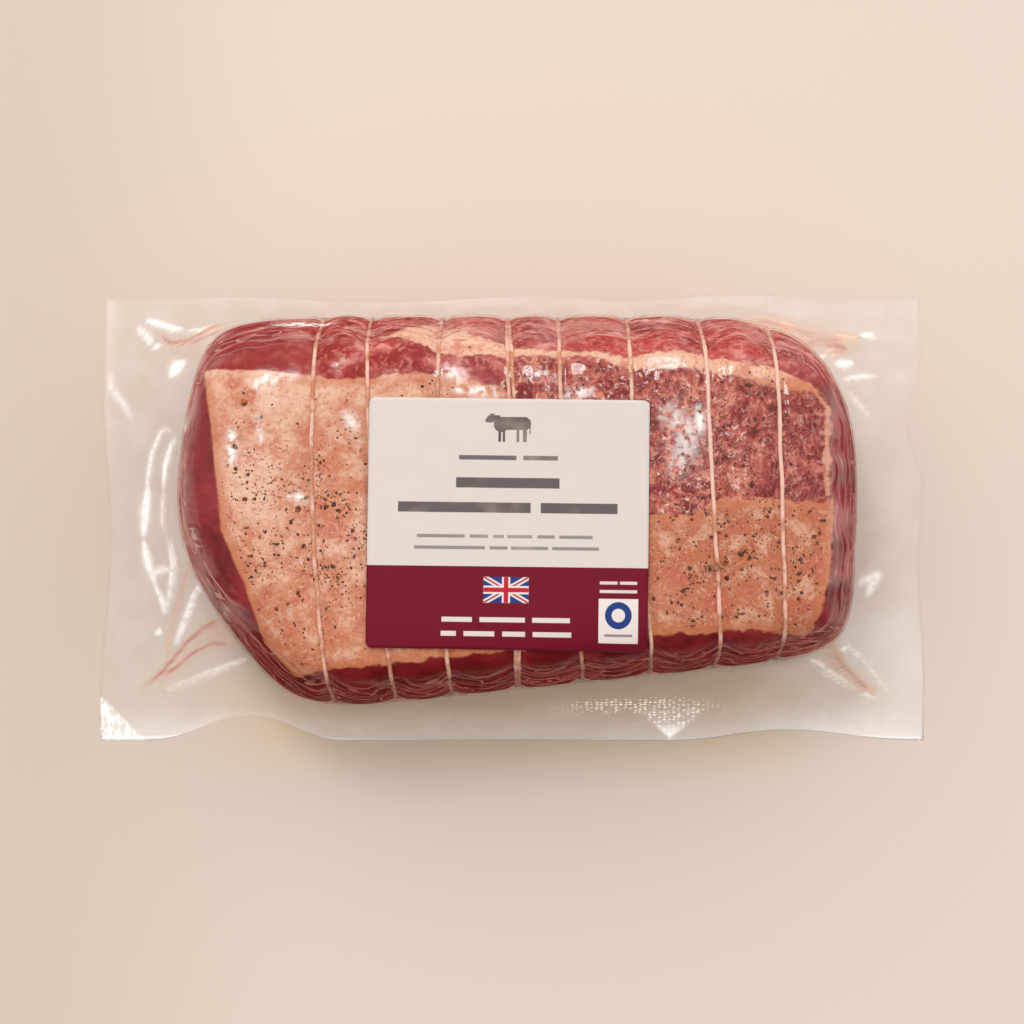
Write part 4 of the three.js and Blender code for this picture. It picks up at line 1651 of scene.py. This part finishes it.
@dataclass(frozen=True)
class LabelFinish(Finish):
    """Coated paper with a burgundy band and plain printed shapes."""

    name: ClassVar[str] = "label"
    paper: Tint = srgb(215, 206, 199)
    mottled: Tint = srgb(226, 206, 190)
    burgundy: Tint = srgb(112, 14, 36)
    ink: Tint = srgb(74, 62, 62)
    white: Tint = srgb(230, 220, 214)
    blue: Tint = srgb(38, 62, 124)
    red: Tint = srgb(186, 36, 50)
    band_top: float = -14.2
    flag_middle: Point = (-0.4, -21.9)
    flag_size: Point = (14.9, 8.5)
    corner_box: tuple[float, ...] = (36.6, -31.5, 13, 14.2)
    ring_middle: Point = (36.6, -29.8)
    ring_radii: Point = (4.4, 2.2)

    def flag(self, shapes: Print) -> list[tuple[Tint, Value]]:
        """The coats of a plain striped flag."""
        flag = shapes.box(*self.flag_middle, *self.flag_size)
        across, up = shapes.x - self.flag_middle[0], shapes.y - self.flag_middle[1]
        slant = abs(abs(across) * (self.flag_size[1] / self.flag_size[0]) - abs(up))
        upright = abs(across).least(abs(up))
        return [
            (self.blue, flag),
            (self.white, flag * slant.rise(1.1, 0.85)),
            (self.red, flag * slant.rise(0.4, 0.25)),
            (self.white, flag * upright.rise(1.45, 1.25)),
            (self.red, flag * upright.rise(0.85, 0.65)),
        ]

    def material(self) -> Material:
        """Builds the material."""
        x, y, _ = self.uv()
        shapes = Print((x - 0.5) * LABEL_LENGTH, (y - 0.5) * LABEL_WIDTH)
        band = shapes.y.rise(self.band_top + shapes.soft, self.band_top - shapes.soft)
        mottle = self.noise(16)
        waves = self.bump(self.noise(12, at=self.place * (1, 0.5, 1)), 0.35)
        outer, inner = (shapes.disc(*self.ring_middle, radius) for radius in self.ring_radii)
        tint = self.colour(
            self.paper,
            (self.ink, shapes.cattle() * 0.95),
            *((self.ink, shapes.row(*row)) for row in DARK_ROWS),
            (self.burgundy, band),
            *((self.white, shapes.row(*row)) for row in WHITE_ROWS),
            *self.flag(shapes),
            (self.white, shapes.box(*self.corner_box)),
            (self.blue, outer),
            (self.white, inner),
            (self.ink, shapes.row(*BOXED_ROW)),
            (self.mottled, mottle.rise(0.5, 0.8) * 0.35 * (1 - band)),
        )
        rough = mottle.rise(0.3, 0.7) * 0.1 + 0.42
        return self.finish(self.shader(tint, rough, 0.12, {"Normal": waves}))


@dataclass
class Label:
    """The paper label, stuck over the film."""

    form: JointForm
    ties: Ties
    thickness: float = 0.2
    corner: float = 2
    centre: Point = (-1.3, -6.9)
    turn: float = -0.7
    clear: float = 0.2
    cells: tuple[int, int] = (92, 82)

    def shape(self, flat: Array) -> Array:
        """The label's middle over a flat grid from -1 to 1 both ways."""
        half = np.array([LABEL_LENGTH, LABEL_WIDTH]) / 2
        plan = flat[:, :2] * half
        arc = half - self.corner
        past = np.maximum(0, np.abs(plan) - arc)
        over = np.linalg.norm(past, axis=1)
        rounded = np.sign(plan) * (arc + past * (self.corner / over.clip(self.corner))[:, None])
        plan = np.where((over > self.corner)[:, None], rounded, plan)
        plan = np.column_stack(turned(*plan.T, math.radians(self.turn))) + self.centre
        points = self.form.over(plan)
        at = self.ties.station(points)
        rise = self.ties.bulge * (0.62 + 0.38 * self.ties.fullness(at)) + self.clear
        points += self.form.normal(points) * rise[:, None]
        return points

    def build(self) -> Object:
        """Builds and dresses the label."""
        bm = grid(*self.cells)
        move_points(bm, self.shape)
        bmesh.ops.recalc_face_normals(bm, faces=bm.faces)
        piece = new_object("label_sheet", bm)
        wall = piece.modifiers.new("paper", "SOLIDIFY")
        wall.thickness = self.thickness * MM
        wall.offset = 0
        piece.data.materials.append(LabelFinish().material())
        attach(piece, "root")
        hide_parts("label")
        return piece


# -------------------- stage


@dataclass(frozen=True)
class FloorFinish(Finish):
    """A plain pale floor, darker towards the left, and warm in front of the pack: painted bounce light from
    the beef in its shade.
    """

    name: ClassVar[str] = "floor"
    pale: Tint = srgb(222, 208, 195)
    dusk: Tint = srgb(206, 190, 174)
    warm: Tint = srgb(226, 203, 176)

    def material(self) -> Material:
        """Builds the material."""
        x, y, _ = self.axes
        tint = self.colour(
            self.pale,
            (self.dusk, x.rise(-60, -180) * 0.7),
            # warm tint in front of the pack: painted bounce light from the beef, in its shade
            (self.warm, y.rise(-40, -62) * y.rise(-96, -72) * abs(x).rise(116, 80)),
        )
        return self.finish(self.shader(tint, 0.6, 0.2, {}))


@dataclass(frozen=True)
class Glow(Finish):
    """A wide glow from behind on the left: its colour, where it comes from and its strength."""

    tint: Tint = srgb(255, 252, 249)
    window: Place = (0.03, 0.86, 0.52)
    dark_from: float = -0.6
    least: float = 0.38
    most: float = 1.3

    @cached_property
    def owner(self) -> World:
        """The world, with an empty tree."""
        return self.emptied(bpy.data.worlds.new("studio"))

    def world(self) -> World:
        """Builds the world."""
        window = Vector(self.window).normalized()
        sockets = {0: self.add("TexCoord", {}, {}).outputs["Generated"], 1: window}
        towards = self.add("VectorMath", {"operation": "DOT_PRODUCT"}, sockets).outputs["Value"]
        sockets = {0: towards, 1: self.dark_from, 3: self.least, 4: self.most}
        strength = self.add("MapRange", {"interpolation_type": "SMOOTHSTEP"}, sockets).outputs[0]
        background = self.add("Background", {}, {"Color": self.tint, "Strength": strength})
        return self.finish(background, "OutputWorld")


@dataclass
class Stage:
    """The floor, the lights and the camera. The key light is placed in metres."""

    floor_size: float = 4000
    key_place: Place = (-0.35, 0.85, 1.85)
    key_size: float = 0.45
    key_radiance: float = 15.0
    aim: Place = (0, 0, 32)
    elevation: float = 86
    distance: float = 1028
    lens: float = 105
    sensor: float = 36

    def floor(self) -> None:
        """A floor under the pack."""
        bm = bmesh.new()
        bmesh.ops.create_grid(bm, x_segments=1, y_segments=1, size=self.floor_size / 2 * MM)
        piece = new_object("floor", bm)
        piece.data.materials.append(FloorFinish().material())

    def key(self) -> None:
        """A small square light that makes the glints, turned towards the pack."""
        lamp = bpy.data.lights.new("key", "AREA")
        lamp.shape = "RECTANGLE"
        lamp.size = lamp.size_y = self.key_size
        lamp.energy = self.key_radiance * math.pi * self.key_size * self.key_size
        holder = bpy.data.objects.new("key", lamp)
        holder.location = self.key_place
        holder.rotation_euler = (-Vector(self.key_place)).to_track_quat("-Z", "Y").to_euler()
        bpy.context.scene.collection.objects.link(holder)

    def camera(self) -> None:
        """A long lens looking down, a little from the front."""
        lens = bpy.data.cameras.new("camera")
        lens.lens = self.lens
        lens.sensor_width = self.sensor
        eye = bpy.data.objects.new("camera", lens)
        lean = math.radians(self.elevation)
        back = Vector((0, -math.cos(lean), math.sin(lean)))
        eye.location = (Vector(self.aim) + back * self.distance) * MM
        eye.rotation_euler = back.to_track_quat("Z", "Y").to_euler()
        bpy.context.scene.collection.objects.link(eye)
        bpy.context.scene.camera = eye

    def build(self) -> None:
        """Builds the whole stage."""
        self.floor()
        bpy.context.scene.world = Glow().world()
        bpy.context.scene.view_settings.view_transform = "Standard"
        self.key()
        self.camera()


def main() -> None:
    """Builds the stage and every piece of the pack, and reports each."""
    logging.basicConfig(level=logging.INFO, format="%(name)s: %(message)s")
    form = JointForm()
    ties = Ties(form)
    joint = Joint(form, ties)
    Stage().build()
    pieces = [joint.build()]
    pieces += Twine(form, ties).build()
    pieces.append(Pepper(joint).build())
    pieces.append(Film(form, ties).build())
    pieces.append(Label(form, ties).build())
    for piece in pieces:
        log.info("%s: %d points, %d faces", piece.name, len(piece.data.vertices), len(piece.data.polygons))


if __name__ == "__main__":
    main()
